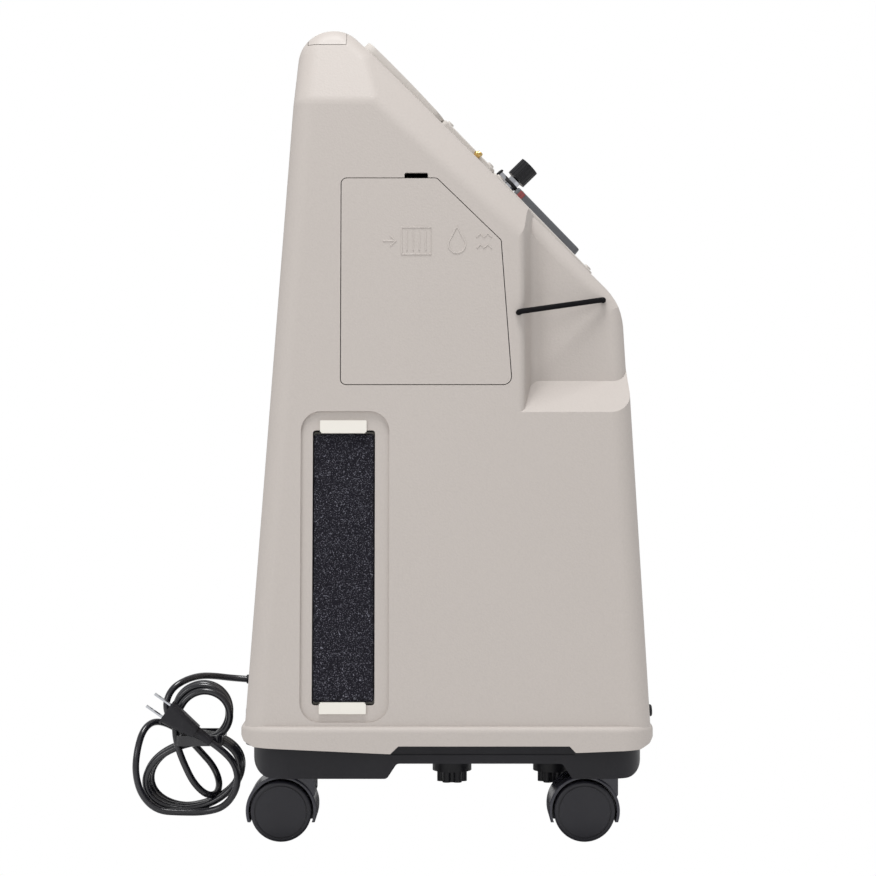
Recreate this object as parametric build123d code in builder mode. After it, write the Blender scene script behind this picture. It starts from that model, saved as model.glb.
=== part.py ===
"""Stationary oxygen concentrator: moulded cabinet on a base pan with four twin-wheel casters.

Frame: +X is the control side (front), -Y the side with the filter access door, +Z up.
The origin is on the floor, under the middle of the machine. All lengths are millimetres.
"""
import os
from math import cos, radians, sin, tan

from build123d import *

os.makedirs("parts", exist_ok=True)

# ---------------------------------------------------------------- driving dimensions
HEIGHT = 670.0
WALL = 3.0

REAR_DRAFT = 4.1  # degrees the rear wall leans in
FRONT_DRAFT = 3.1
SIDE_DRAFT = 4.5  # degrees, side walls
WALL_FOOT_Z = 100.0
REAR_FOOT_X = -164.1
FRONT_FOOT_X = 161.8
SIDE_FOOT_Y = 228.0

SLOPE_TILT = 45.8  # degrees down from horizontal
SLOPE_TOP = (-67.8, 659.3)  # a point on the plane of the control panels, X and Z
SHELL_TILT = 45.2  # the moulding's own slope, which the panels stand on
SHELL_TOP = (-67.8, 653.6)
FACET_TILT = 22.0  # how far the shoulder facets lean in from the side walls
SLOPE_FACET_TILT = 36.0
FACET_Z = 606.0
EDGE_RADIUS = 18.0

SKIRT_FRONT = 164.3
SKIRT_REAR = -167.5
SKIRT_HALF_WIDTH = 233.0
SKIRT_BOTTOM = 77.5
SKIRT_TOP = 100.6
SKIRT_CORNER = 28.0
SKIRT_HEM = [  # lower edge in X and Z: high at both ends and over the pan's middle section
    (-180, 60),
    (-180, 92),
    (-167.5, 92),
    (-164.5, 87.5),
    (-156, 84.2),
    (-46.9, 79.2),
    (-40.4, 85.4),
    (95.5, 85.4),
    (100.5, 80.2),
    (152, 82.2),
    (160.5, 86),
    (164.3, 91),
    (180, 91),
    (180, 60),
]

PAN_FRONT = 156.0
PAN_REAR = -159.0
PAN_HALF_WIDTH = 215.0
PAN_BOTTOM = 56.6
PAN_MIDDLE_BOTTOM = 68.8
PAN_MIDDLE = (-46.0, 95.0)  # X span of the raised middle section
PAN_FLANGE_Z = 84.0
PAN_FLANGE = 4.0
DECK_Z = PAN_FLANGE_Z + PAN_FLANGE
DECK = 2.0
FLOOR = DECK_Z + DECK  # top of the sheet deck that carries the works

DOOR_GAP = 0.7
DOOR_THICKNESS = 3.0

FILTER_X = (-109.8, -59.6)
FILTER_Z = (117.0, 336.5)
POCKET_X = (-119.3, -48.1)
POCKET_Z = (103.4, 351.8)
POCKET_DEPTH = 2.5
POCKET_CORNER = 16.0
FOAM_DEPTH = 9.0

RECESS_FLOOR = (351.0, 375.0)  # outer lip and inner edge of the sloping floor
RECESS_X = (60.5, 68.0)
RECESS_DEPTH = 28.0
RECESS_EDGE = 14.0
RECESS_FRONT_EDGE = 12.0

GRIP_Z = 606.0
GRIP_SIZE = (132.0, 34.0)
GRIP_DEPTH = 34.0
HANDLE_X = (-116.5, -85.0)
HANDLE_FOOT = 656.0
HANDLE_DEPTH = 1.6

NOTCH_X = (-36.2, -17.0)
NOTCH_Z = (541.0, 545.9)
STRAP = 4.4
STRAP_KNOT = 2.4  # radius of the knot on each end, behind the wall
STRAP_START = (56.3, 431.6)  # X and Z of the strap's hole in the side wall
STRAP_END = (126.9, 445.5)  # and of its hole in the recess wall

COVER_U = (-1.0, 90.0)  # spans down the control slope
OUTLET_PANEL_U = (90.5, 150.0)
CONTROL_U = (150.5, 268.0)
COVER_HALF_WIDTH = 150.0
COVER_HEIGHT = 2.0
COVER_CROWN = 0.8
OUTLET_PANEL_HEIGHT = 2.6
CONTROL_HEIGHT = 1.2
OUTLET_AT = (123.6, -60.0)  # distance down the slope, and Y
VALVE_AT = (164.4, -95.0)
GAUGE_U = (171.6, 246.0)
GAUGE_Y = (-114.0, -76.0)
GAUGE_FACE = 11.2
FLOAT_TRAVEL = 40.0
ROCKER_AT = (214.0, -18.0)
BREAKER_AT = (214.0, 32.0)
METER_AT = (214.0, 82.0)
LENS_U = 176.0
LENS_Y = (-24.0, -4.0, 16.0)

WHEEL_RADIUS = 25.0
WHEEL_WIDTH = 17.0
WHEEL_SPACING = 11.0
CASTER_TRAIL = 18.2
CASTER_X = (-119.0, 129.1)
CASTER_Y = 163.0

KNOB_X = (3.0, 88.3)
KNOB_Y = 120.0
KNOB_SKIRT = 20.0  # height of the knob's round part, under the pan
KNOB_LOBES = 9.5  # height of the lobed grip below it
LOBE_CORE = 9.5
LOBE_RADIUS = 3.6

CORD = 6.0
CORD_EXIT_Y = 10.0
CORD_EXIT_Z = 110.0
RELIEF_LENGTH = 20.0


ON_TOP = (Align.CENTER, Align.CENTER, Align.MIN)


def save(part, node):
    part.label = node
    export_step(part, f"parts/{node}.step")


def rear_x(z):
    return REAR_FOOT_X + (z - WALL_FOOT_Z) * tan(radians(REAR_DRAFT))


def front_x(z):
    return FRONT_FOOT_X - (z - WALL_FOOT_Z) * tan(radians(FRONT_DRAFT))


def side_y(z):
    return SIDE_FOOT_Y - (z - WALL_FOOT_Z) * tan(radians(SIDE_DRAFT))


def slope_x(z):
    return SHELL_TOP[0] + (SHELL_TOP[1] - z) / tan(radians(SHELL_TILT))


def up_wall(z):
    """Distance up the drafted side wall from its foot to height z."""
    return (z - WALL_FOOT_Z) / cos(radians(SIDE_DRAFT))


# The control slope: x runs down the slope, y is +Y, z points out of the machine.
SLOPE = Plane(
    origin=(SLOPE_TOP[0], 0, SLOPE_TOP[1]),
    x_dir=(cos(radians(SLOPE_TILT)), 0, -sin(radians(SLOPE_TILT))),
    z_dir=(sin(radians(SLOPE_TILT)), 0, cos(radians(SLOPE_TILT))),
)
SLOPE_OUT = Axis(SLOPE.origin, SLOPE.z_dir)
# The moulding's slope under the panels, with the same directions.
SHELL_SLOPE = Plane(
    origin=(SHELL_TOP[0], 0, SHELL_TOP[1]),
    x_dir=(cos(radians(SHELL_TILT)), 0, -sin(radians(SHELL_TILT))),
    z_dir=(sin(radians(SHELL_TILT)), 0, cos(radians(SHELL_TILT))),
)
# The side wall with the door: x is +X, y runs up the wall, z points out of the machine.
SIDE = Plane(
    origin=(0, -SIDE_FOOT_Y, WALL_FOOT_Z),
    x_dir=(1, 0, 0),
    z_dir=(0, -cos(radians(SIDE_DRAFT)), sin(radians(SIDE_DRAFT))),
)
# The rear wall: x is -Y, y runs up the wall, z points out of the machine.
REAR = Plane(
    origin=(REAR_FOOT_X, 0, WALL_FOOT_Z),
    x_dir=(0, -1, 0),
    z_dir=(-cos(radians(REAR_DRAFT)), 0, sin(radians(REAR_DRAFT))),
)


# ---------------------------------------------------------------- cabinet
def slope_meets_front():
    """X and Z where the control slope and the front wall would cross."""
    slope_run = 1 / tan(radians(SHELL_TILT))
    front_run = tan(radians(FRONT_DRAFT))
    rise = SHELL_TOP[0] + SHELL_TOP[1] * slope_run - FRONT_FOOT_X - WALL_FOOT_Z * front_run
    z = rise / (slope_run - front_run)
    return front_x(z), z


def facet_plane(side, inset):
    """The long facet between a side wall and the control slope, moved in by inset."""
    upper = Vector(-58.7, side * side_y(605), 605)
    lower = Vector(58.0, side * side_y(498), 498)
    along = (lower - upper).normalized()
    wall_normal = Vector(0, side * cos(radians(SIDE_DRAFT)), sin(radians(SIDE_DRAFT)))
    lean = along.cross(wall_normal)
    if lean.Z < 0:
        lean = lean * -1
    normal = wall_normal * cos(radians(SLOPE_FACET_TILT)) + lean * sin(radians(SLOPE_FACET_TILT))
    return Plane(origin=upper, x_dir=along, z_dir=normal).offset(-inset)


def body_form(inset, foot):
    """The cabinet's solid form above height foot, with every wall moved in by inset."""
    corner = slope_meets_front()
    facet_y = side_y(FACET_Z)
    above = HEIGHT + 20
    crest_y = facet_y - (above - FACET_Z) * tan(radians(SIDE_DRAFT + FACET_TILT))
    with BuildPart() as form:
        with BuildSketch(Plane.XZ):
            with BuildLine():
                FilletPolyline(
                    (rear_x(foot), foot),
                    (rear_x(HEIGHT), HEIGHT),
                    (slope_x(HEIGHT), HEIGHT),
                    corner,
                    (front_x(foot), foot),
                    radius=[29, 26, 62],
                )
                Line((front_x(foot), foot), (rear_x(foot), foot))
            make_face()
            if inset:
                offset(amount=-inset, kind=Kind.INTERSECTION)
        extrude(amount=300, both=True)
        with BuildSketch(Plane.YZ):
            with BuildLine():
                Polyline(
                    (-side_y(foot), foot),
                    (-facet_y, FACET_Z),
                    (-crest_y, above),
                    (crest_y, above),
                    (facet_y, FACET_Z),
                    (side_y(foot), foot),
                    close=True,
                )
            make_face()
            if inset:
                offset(amount=-inset, kind=Kind.INTERSECTION)
        extrude(amount=300, both=True, mode=Mode.INTERSECT)
        for side in (-1, 1):
            with Locations(facet_plane(side, inset)):
                Box(900, 900, 150, align=(Align.CENTER, Align.CENTER, Align.MIN), mode=Mode.SUBTRACT)
        outer_edges = form.edges().filter_by(lambda e: e.center().Z > foot + 15 and abs(e.center().Y) > 130)
        fillet(outer_edges, EDGE_RADIUS - inset)
    return form.part


def above_recess_floor(grow):
    """Everything over the recess's sloping floor, which is lowered by grow."""
    low, high = RECESS_FLOOR
    drop = 1.4 * grow
    foot = -side_y(low)
    with BuildPart() as above:
        with BuildSketch(Plane.YZ.offset(-300)):
            Polygon(
                (foot - 100, low - 86 - drop),
                (foot, low - drop),
                (foot + RECESS_DEPTH, high - drop),
                (foot + 150, high + 105 - drop),
                (foot + 150, 900),
                (foot - 100, 900),
                align=None,
            )
        extrude(amount=900)
    return above.part


def bottle_recess(grow):
    """The space cut from the front corner for a humidifier bottle, grown by grow on its walls."""
    low = RECESS_FLOOR[0]
    plan = Plane(
        origin=(0, -side_y(low), low),
        x_dir=(1, 0, 0),
        z_dir=(0, sin(radians(SIDE_DRAFT)), cos(radians(SIDE_DRAFT))),
    )
    left, inner = RECESS_X
    beyond = 260
    with BuildPart() as recess:
        with BuildSketch(plan.offset(-20)):
            with BuildLine():
                wall = FilletPolyline(
                    (left - grow - 12, grow - 0.01),
                    (left - grow, grow - 0.01),
                    (inner - grow, RECESS_DEPTH + grow),
                    (beyond, RECESS_DEPTH + grow),
                    radius=[6 - grow, 9 - grow],
                )
                Polyline(wall @ 1, (beyond, -60), (left - grow - 12, -60), wall @ 0)
            make_face()
        extrude(amount=420)
        add(above_recess_floor(grow), mode=Mode.INTERSECT)
    return recess.part


def pocket_block(grow):
    """A filter pocket in the side wall as a solid, grown by grow."""
    width = POCKET_X[1] - POCKET_X[0] + 2 * grow
    height = up_wall(POCKET_Z[1]) - up_wall(POCKET_Z[0]) + 2 * grow
    centre = (sum(POCKET_X) / 2, (up_wall(POCKET_Z[0]) + up_wall(POCKET_Z[1])) / 2)
    with BuildPart() as pocket:
        with BuildSketch(SIDE.offset(-POCKET_DEPTH - grow)):
            with Locations(centre):
                RectangleRounded(width, height, POCKET_CORNER + grow)
        extrude(amount=POCKET_DEPTH + grow + 10)
    return pocket.part


def grip_block(grow):
    """The hand grip pocket in the upper rear wall as a solid, grown by grow."""
    with BuildPart() as grip:
        with BuildSketch(REAR.offset(-GRIP_DEPTH - grow)):
            with Locations((0, (GRIP_Z - WALL_FOOT_Z) / cos(radians(REAR_DRAFT)))):
                RectangleRounded(GRIP_SIZE[0] + 2 * grow, GRIP_SIZE[1] + 2 * grow, 12 + grow)
        extrude(amount=GRIP_DEPTH + grow + 10)
    return grip.part


def round_over(point, normal_a, normal_b, radius, before, after):
    """The sliver to cut away so that the edge between two planes gets a radius.

    point is on the edge, and the sliver runs from before to after, measured along it.
    """
    along = normal_a.cross(normal_b).normalized()
    both = normal_a + normal_b
    centre = point - both * (radius / (1 + normal_a.dot(normal_b)))
    edge = Plane(origin=point, x_dir=normal_a, z_dir=along)
    beyond = 6.0
    corners = [
        centre + normal_a * radius,
        centre + both.normalized() * radius,
        centre + normal_b * radius,
        centre + normal_b * (radius + beyond),
        point + both * beyond,
        centre + normal_a * (radius + beyond),
    ]
    flat = [edge.to_local_coords(corner) for corner in corners]
    flat = [(corner.X, corner.Y) for corner in flat]
    with BuildPart() as sliver:
        with BuildSketch(edge.offset(before)):
            with BuildLine():
                ThreePointArc(*flat[:3])
                Polyline(*flat[2:], flat[0])
            make_face()
        extrude(amount=after - before)
    return sliver.part


def recess_roundings(inset):
    """Slivers that round the recess's edges with the control slope and the front wall."""
    low = RECESS_FLOOR[0]
    left, inner = RECESS_X
    up = Vector(0, sin(radians(SIDE_DRAFT)), cos(radians(SIDE_DRAFT)))
    outward = SIDE.z_dir
    foot = Vector(0, -side_y(low), low)
    back = foot + Vector(inner, 0, 0) - outward * (RECESS_DEPTH + inset)
    front_normal = Vector(cos(radians(FRONT_DRAFT)), 0, sin(radians(FRONT_DRAFT)))

    slope_normal = SHELL_SLOPE.z_dir
    slope_point = SHELL_SLOPE.origin - slope_normal * inset
    rim = back + up * ((slope_point - back).dot(slope_normal) / up.dot(slope_normal))
    side_of_wall = (inner - left) / RECESS_DEPTH
    with BuildPart() as rim_cut:
        add(round_over(rim, outward, slope_normal, RECESS_EDGE - inset, -200, 200))
        with BuildSketch(Plane(origin=foot, x_dir=(1, 0, 0), z_dir=up)):
            Polygon(
                (left - inset - 20 * side_of_wall, -20),
                (left - inset + 90 * side_of_wall, 90),
                (400, 90),
                (400, -20),
                align=None,
            )
        extrude(amount=400, mode=Mode.INTERSECT)

    front_point = Vector(FRONT_FOOT_X, 0, WALL_FOOT_Z) - front_normal * inset
    corner = back + Vector((front_point - back).dot(front_normal) / front_normal.X, 0, 0)
    run = 150 if outward.cross(front_normal).Z > 0 else -150
    with BuildPart() as corner_cut:
        add(round_over(corner, outward, front_normal, RECESS_FRONT_EDGE - inset, min(0, run), max(0, run)))
        add(above_recess_floor(inset), mode=Mode.INTERSECT)
    return rim_cut.part, corner_cut.part


def hollowed_form(inset, foot):
    """The body form with its recess and pockets cut in, all at the same inset."""
    with BuildPart() as form:
        add(body_form(inset, foot))
        add(bottle_recess(inset), mode=Mode.SUBTRACT)
        for block in (
            *recess_roundings(inset),
            pocket_block(inset),
            mirror(pocket_block(inset), about=Plane.XZ),
            grip_block(inset),
        ):
            add(block, mode=Mode.SUBTRACT)
    return form.part


DOOR_OUTLINE = [(-88.0, 541.9), (-9.7, 541.9), (42.8, 490.7), (43.3, 482.0), (51.3, 372.8), (-88.0, 372.8)]
DOOR_CORNERS = [5.0, 5.0, 4.0, 8.0, 7.0, 5.0]


def door_sketch(shrink):
    """The door's outline on the side wall, made smaller by shrink."""
    with BuildSketch() as outline:
        with BuildLine():
            FilletPolyline(*[(x, up_wall(z)) for x, z in DOOR_OUTLINE], close=True, radius=DOOR_CORNERS)
        make_face()
        if shrink:
            offset(amount=-shrink, kind=Kind.INTERSECTION)
    return outline.sketch


def wall_span(x_span, z_span):
    """Centre and size, on the side wall, of a rectangle given by X and Z spans."""
    low, high = up_wall(z_span[0]), up_wall(z_span[1])
    return (sum(x_span) / 2, (low + high) / 2), (x_span[1] - x_span[0], high - low)


def both_sides(part):
    return part, mirror(part, about=Plane.XZ)


def handle_band(grow):
    """A band over the top of the cabinet, from one side facet to the other."""
    with BuildPart() as band:
        with BuildSketch(Plane.XY.offset(HANDLE_FOOT - grow)):
            with Locations((sum(HANDLE_X) / 2, 0)):
                Rectangle(HANDLE_X[1] - HANDLE_X[0] + 2 * grow, 420)
        extrude(amount=60 + grow)
        add(body_form(HANDLE_DEPTH, 60), mode=Mode.SUBTRACT)
    return band.part


FRONT = Plane(
    origin=(FRONT_FOOT_X, 0, WALL_FOOT_Z),
    x_dir=(0, 1, 0),
    z_dir=(cos(radians(FRONT_DRAFT)), 0, sin(radians(FRONT_DRAFT))),
)
SCREW_SPOTS = [(y, 5.5) for y in (-170, 170)]  # on the front and rear walls, from their foot
CORD_SPOT = (-CORD_EXIT_Y, (CORD_EXIT_Z - WALL_FOOT_Z) / cos(radians(REAR_DRAFT)))
SCREW_HOLE = 2.3
FRONT_SCREW_HEAD = 5.8
REAR_SCREW_HEAD = 3.2
CORD_HOLE = 6.0


def foam_window():
    """The opening behind one filter pocket."""
    centre, size = wall_span(FILTER_X, FILTER_Z)
    with BuildPart() as window:
        with BuildSketch(SIDE.offset(-POCKET_DEPTH - WALL - 8)):
            with Locations(centre):
                RectangleRounded(*size, 2.5)
        extrude(amount=30)
    return window.part


with BuildPart() as skirt:
    middle = (SKIRT_FRONT + SKIRT_REAR) / 2
    length = SKIRT_FRONT - SKIRT_REAR
    with BuildSketch(Plane.XY.offset(SKIRT_BOTTOM)):
        with Locations((middle, 0)):
            RectangleRounded(length, 2 * SKIRT_HALF_WIDTH, SKIRT_CORNER)
    extrude(amount=SKIRT_TOP - SKIRT_BOTTOM)
    fillet(skirt.faces().sort_by(Axis.Z)[-1].outer_wire().edges(), 4.5)
    with BuildSketch(Plane.XZ):
        Polygon(*SKIRT_HEM, align=None)
    extrude(amount=300, both=True, mode=Mode.SUBTRACT)

with BuildPart() as cabinet:
    add(hollowed_form(0, SKIRT_TOP - 5))
    add(skirt.part)
    add(hollowed_form(WALL, 60), mode=Mode.SUBTRACT)
    with BuildSketch(Plane.XY.offset(60)):
        with Locations((middle, 0)):
            RectangleRounded(length - 2 * WALL, 2 * (SKIRT_HALF_WIDTH - WALL), SKIRT_CORNER - WALL)
    extrude(amount=SKIRT_TOP - 5 - 60, mode=Mode.SUBTRACT)
    for window in both_sides(foam_window()):
        add(window, mode=Mode.SUBTRACT)
    # the access door's opening and its finger notch
    with BuildSketch(SIDE.offset(-WALL - 2)):
        add(door_sketch(0))
        centre, size = wall_span(NOTCH_X, NOTCH_Z)
        with Locations(centre):
            RectangleRounded(*size, 1.5)
    extrude(amount=WALL + 4, mode=Mode.SUBTRACT)
    # the two holes of the bottle strap
    with BuildSketch(SIDE.offset(-60)):
        with Locations(*[(x, up_wall(z)) for x, z in (STRAP_START, STRAP_END)]):
            Circle(STRAP / 2 + 0.1)
    extrude(amount=80, mode=Mode.SUBTRACT)
    # openings under the control slope's panels
    with BuildSketch(SLOPE.offset(-12)):
        for span in (OUTLET_PANEL_U, CONTROL_U):
            with Locations((sum(span) / 2, 0)):
                RectangleRounded(span[1] - span[0] - 10, 2 * COVER_HALF_WIDTH - 14, 4)
    extrude(amount=20, mode=Mode.SUBTRACT)
    with BuildSketch(FRONT.offset(-20)):
        with Locations(*SCREW_SPOTS):
            Circle(SCREW_HOLE)
    extrude(amount=40, mode=Mode.SUBTRACT)
    with BuildSketch(REAR.offset(-20)):
        with Locations(*SCREW_SPOTS):
            Circle(SCREW_HOLE)
        with Locations(CORD_SPOT):
            Circle(CORD_HOLE)
    extrude(amount=40, mode=Mode.SUBTRACT)
    add(handle_band(0.5), mode=Mode.SUBTRACT)
save(cabinet.part, "cabinet")

with BuildPart() as carry_handle:
    add(body_form(0, 90))
    add(handle_band(0), mode=Mode.INTERSECT)
save(carry_handle.part, "carry_handle")


# ---------------------------------------------------------------- access door and its compartment
DOOR_FOOT = up_wall(DOOR_OUTLINE[-1][1])
TUB_DEPTH = 46.0
TUB_WALL = 2.0
TUB_X = (-84.0, 36.0)
TUB_Z = (382.0, 480.0)

with BuildPart() as access_door:
    with BuildSketch(SIDE.offset(-DOOR_THICKNESS)):
        add(door_sketch(DOOR_GAP))
    extrude(amount=DOOR_THICKNESS)
    # hooks that the door tips out on, behind the wall under the opening
    for x in (-68.0, 30.0):
        with BuildSketch(Plane(origin=(x - 6, -SIDE_FOOT_Y, WALL_FOOT_Z), x_dir=SIDE.y_dir, z_dir=(1, 0, 0))):
            with BuildLine():
                Polyline(
                    (DOOR_FOOT + DOOR_GAP, -DOOR_THICKNESS),
                    (DOOR_FOOT + DOOR_GAP + 6, -DOOR_THICKNESS),
                    (DOOR_FOOT + DOOR_GAP + 6, -DOOR_THICKNESS - 4),
                    (DOOR_FOOT - 5, -DOOR_THICKNESS - 4),
                    (DOOR_FOOT - 5, -DOOR_THICKNESS - 1.6),
                    (DOOR_FOOT + DOOR_GAP, -DOOR_THICKNESS - 1.6),
                    close=True,
                )
            make_face()
        extrude(amount=12)
save(access_door.part, "access_door")

tub_centre, tub_size = wall_span(TUB_X, TUB_Z)
with BuildPart() as filter_compartment:
    with BuildSketch(SIDE.offset(-WALL - TUB_DEPTH)):
        with Locations(tub_centre):
            RectangleRounded(tub_size[0] + 2 * TUB_WALL, tub_size[1] + 2 * TUB_WALL, 6)
    extrude(amount=TUB_DEPTH - 6)
    with BuildSketch(SIDE.offset(-WALL - TUB_DEPTH + TUB_WALL)):
        with Locations(tub_centre):
            RectangleRounded(*tub_size, 4)
    extrude(amount=TUB_DEPTH, mode=Mode.SUBTRACT)
save(filter_compartment.part, "filter_compartment")

INLET_AT = (-48.0, 433.0)
ADAPTER_AT = (8.0, 433.0)
TUB_FLOOR = -WALL - TUB_DEPTH + TUB_WALL

with BuildPart() as inlet_filter:
    with BuildSketch(SIDE.offset(TUB_FLOOR)):
        with Locations((INLET_AT[0], up_wall(INLET_AT[1]))):
            Circle(27)
    extrude(amount=22)
    with BuildSketch(SIDE.offset(TUB_FLOOR + 22)):
        with Locations((INLET_AT[0], up_wall(INLET_AT[1]))):
            Circle(22)
    extrude(amount=4)
    with BuildSketch(SIDE.offset(TUB_FLOOR + 26)):
        with Locations((INLET_AT[0], up_wall(INLET_AT[1]))):
            Circle(6)
            Circle(3.5, mode=Mode.SUBTRACT)
    extrude(amount=7)
save(inlet_filter.part, "inlet_filter")

with BuildPart() as humidifier_adapter:
    with BuildSketch(SIDE.offset(TUB_FLOOR)):
        with Locations((ADAPTER_AT[0], up_wall(ADAPTER_AT[1]))):
            RegularPolygon(11, 6)
    extrude(amount=12)
    with BuildSketch(SIDE.offset(TUB_FLOOR + 12)):
        with Locations((ADAPTER_AT[0], up_wall(ADAPTER_AT[1]))):
            Circle(5)
    extrude(amount=20)
    with BuildSketch(SIDE.offset(TUB_FLOOR)):
        with Locations((ADAPTER_AT[0], up_wall(ADAPTER_AT[1]))):
            Circle(2.5)
    extrude(amount=32, mode=Mode.SUBTRACT)
save(humidifier_adapter.part, "humidifier_adapter")


# ---------------------------------------------------------------- slide-out foam filters
FRAME_GAP = 0.4
FRAME_BAR = 2.0
TAB_X = (-103.9, -66.4)
TAB_THICKNESS = 2.0
POCKET_FLOOR = -POCKET_DEPTH


def filter_frame():
    """The carrier behind a foam: a slotted back, a bar at each end and two finger tabs."""
    centre, size = wall_span(FILTER_X, FILTER_Z)
    width = size[0] - 2 * FRAME_GAP
    height = size[1] - 2 * FRAME_GAP
    back = POCKET_FLOOR - 1 - FOAM_DEPTH
    with BuildPart() as carrier:
        with BuildSketch(SIDE.offset(back - FRAME_BAR)):
            with Locations(centre):
                RectangleRounded(width, height, 2)
                with GridLocations(0, 24, 1, 8):
                    SlotOverall(width - 10, 12, mode=Mode.SUBTRACT)
        extrude(amount=FRAME_BAR)
        with BuildSketch(SIDE.offset(back)):
            for end in (-1, 1):
                with Locations((sum(TAB_X) / 2, centre[1] + end * (height / 2 - FRAME_BAR / 2))):
                    Rectangle(TAB_X[1] - TAB_X[0] - 2, FRAME_BAR)
        extrude(amount=FOAM_DEPTH + 1 + TAB_THICKNESS)
        with BuildSketch(SIDE.offset(POCKET_FLOOR)):
            for low, high in ((110.2, FILTER_Z[0] + 1.5), (FILTER_Z[1] - 1.5, 344.4)):
                tab_centre, tab_size = wall_span(TAB_X, (low, high))
                with Locations(tab_centre):
                    RectangleRounded(*tab_size, 0.8)
        extrude(amount=TAB_THICKNESS)
    return carrier.part


def foam_pad():
    """The foam between the end bars, a little below the pocket's floor."""
    centre, size = wall_span(FILTER_X, FILTER_Z)
    with BuildPart() as pad:
        with BuildSketch(SIDE.offset(POCKET_FLOOR - 1 - FOAM_DEPTH)):
            with Locations(centre):
                RectangleRounded(size[0] - 2 * FRAME_GAP, size[1] - 2 * (FRAME_GAP + FRAME_BAR), 1.5)
        extrude(amount=FOAM_DEPTH)
    return pad.part


for side_name, frame_part, foam_part in zip(
    ("right", "left"), both_sides(filter_frame()), both_sides(foam_pad())
):
    save(frame_part, f"filter_frame_{side_name}")
    save(foam_part, f"filter_foam_{side_name}")


# ---------------------------------------------------------------- bottle strap
strap_start = Vector(STRAP_START[0], -side_y(STRAP_START[1]), STRAP_START[1])
strap_out = SIDE.z_dir
strap_end = Vector(STRAP_END[0], -side_y(STRAP_END[1]), STRAP_END[1]) - strap_out * RECESS_DEPTH
STRAP_LIFT = STRAP / 2 + 2.6
bend_start = strap_start + strap_out * STRAP_LIFT
bend_end = strap_end + strap_out * 4

with BuildPart() as bottle_strap:
    with BuildLine() as strap_path:
        FilletPolyline(
            strap_start - strap_out * 10,
            bend_start,
            bend_end,
            bend_end - strap_out * 17,
            radius=[2.6, 2.6],
        )
    with BuildSketch(Plane(origin=strap_path.line @ 0, z_dir=strap_path.line % 0)):
        Circle(STRAP / 2)
    sweep()
    for tail in (strap_path.line @ 0, strap_path.line @ 1):
        with Locations(tail):
            Sphere(STRAP_KNOT)
save(bottle_strap.part, "bottle_strap")


# ---------------------------------------------------------------- slope covers and controls
PLATE_REACH = 8.0  # how far below their plane the panels may reach


def slope_plate(span, height, corner):
    """A panel that stands on the moulding's slope."""
    with BuildPart() as plate:
        with BuildSketch(SLOPE.offset(-PLATE_REACH)):
            with Locations((sum(span) / 2, 0)):
                RectangleRounded(span[1] - span[0], 2 * COVER_HALF_WIDTH, corner)
        extrude(amount=PLATE_REACH + height)
        with Locations(SHELL_SLOPE):
            Box(900, 900, 100, align=(Align.CENTER, Align.CENTER, Align.MAX), mode=Mode.SUBTRACT)
        fillet(plate.faces().sort_by(SLOPE_OUT)[-1].outer_wire().edges(), 0.9)
    return plate.part


with BuildPart() as front_cover:
    add(slope_plate(COVER_U, 20, 10))
    crown_radius = ((COVER_U[1] - COVER_U[0]) / 2) ** 2 / (2 * COVER_CROWN) + COVER_CROWN / 2
    with BuildSketch(Plane(origin=SLOPE.origin, x_dir=SLOPE.x_dir, z_dir=(0, -1, 0))):
        with Locations((sum(COVER_U) / 2, COVER_HEIGHT + COVER_CROWN - crown_radius)):
            Circle(crown_radius)
    extrude(amount=COVER_HALF_WIDTH + 10, both=True, mode=Mode.INTERSECT)
save(front_cover.part, "front_cover")

with BuildPart() as outlet_panel:
    add(slope_plate(OUTLET_PANEL_U, OUTLET_PANEL_HEIGHT, 4))
    with BuildSketch(SLOPE.offset(-PLATE_REACH)):
        with Locations(OUTLET_AT):
            Circle(4.1)
    extrude(amount=PLATE_REACH + 10, mode=Mode.SUBTRACT)
save(outlet_panel.part, "outlet_panel")

gauge_middle = (sum(GAUGE_U) / 2, sum(GAUGE_Y) / 2)
gauge_size = (GAUGE_U[1] - GAUGE_U[0], GAUGE_Y[1] - GAUGE_Y[0])
ROCKER_HOLE = (30.0, 22.0)
BREAKER_HOLE = 6.0
METER_HOLE = (36.0, 24.0)
VALVE_HOLE = 6.1

with BuildPart() as control_panel:
    add(slope_plate(CONTROL_U, CONTROL_HEIGHT, 4))
    with BuildSketch(SLOPE.offset(-PLATE_REACH)):
        with Locations(ROCKER_AT):
            Rectangle(*ROCKER_HOLE)
        with Locations(BREAKER_AT):
            Circle(BREAKER_HOLE)
        with Locations(METER_AT):
            Rectangle(*METER_HOLE)
        with Locations(VALVE_AT):
            Circle(VALVE_HOLE)
        with Locations(*[(LENS_U, y) for y in LENS_Y]):
            Circle(3.1)
        with Locations(*[(LENS_U, y) for y in (78, 83, 88)]):
            SlotOverall(12, 2)
    extrude(amount=PLATE_REACH + 8, mode=Mode.SUBTRACT)
save(control_panel.part, "control_panel")

BLOCK_SIZE = (60.0, 18.0)
BLOCK_MIDDLE = (GAUGE_U[1] - 6 - BLOCK_SIZE[0] / 2, gauge_middle[1])
BLOCK_TOP = 10.2
BORE_N = 5.6  # height of the float's bore above the slope
BORE = 3.7
FLOAT = 3.5

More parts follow.
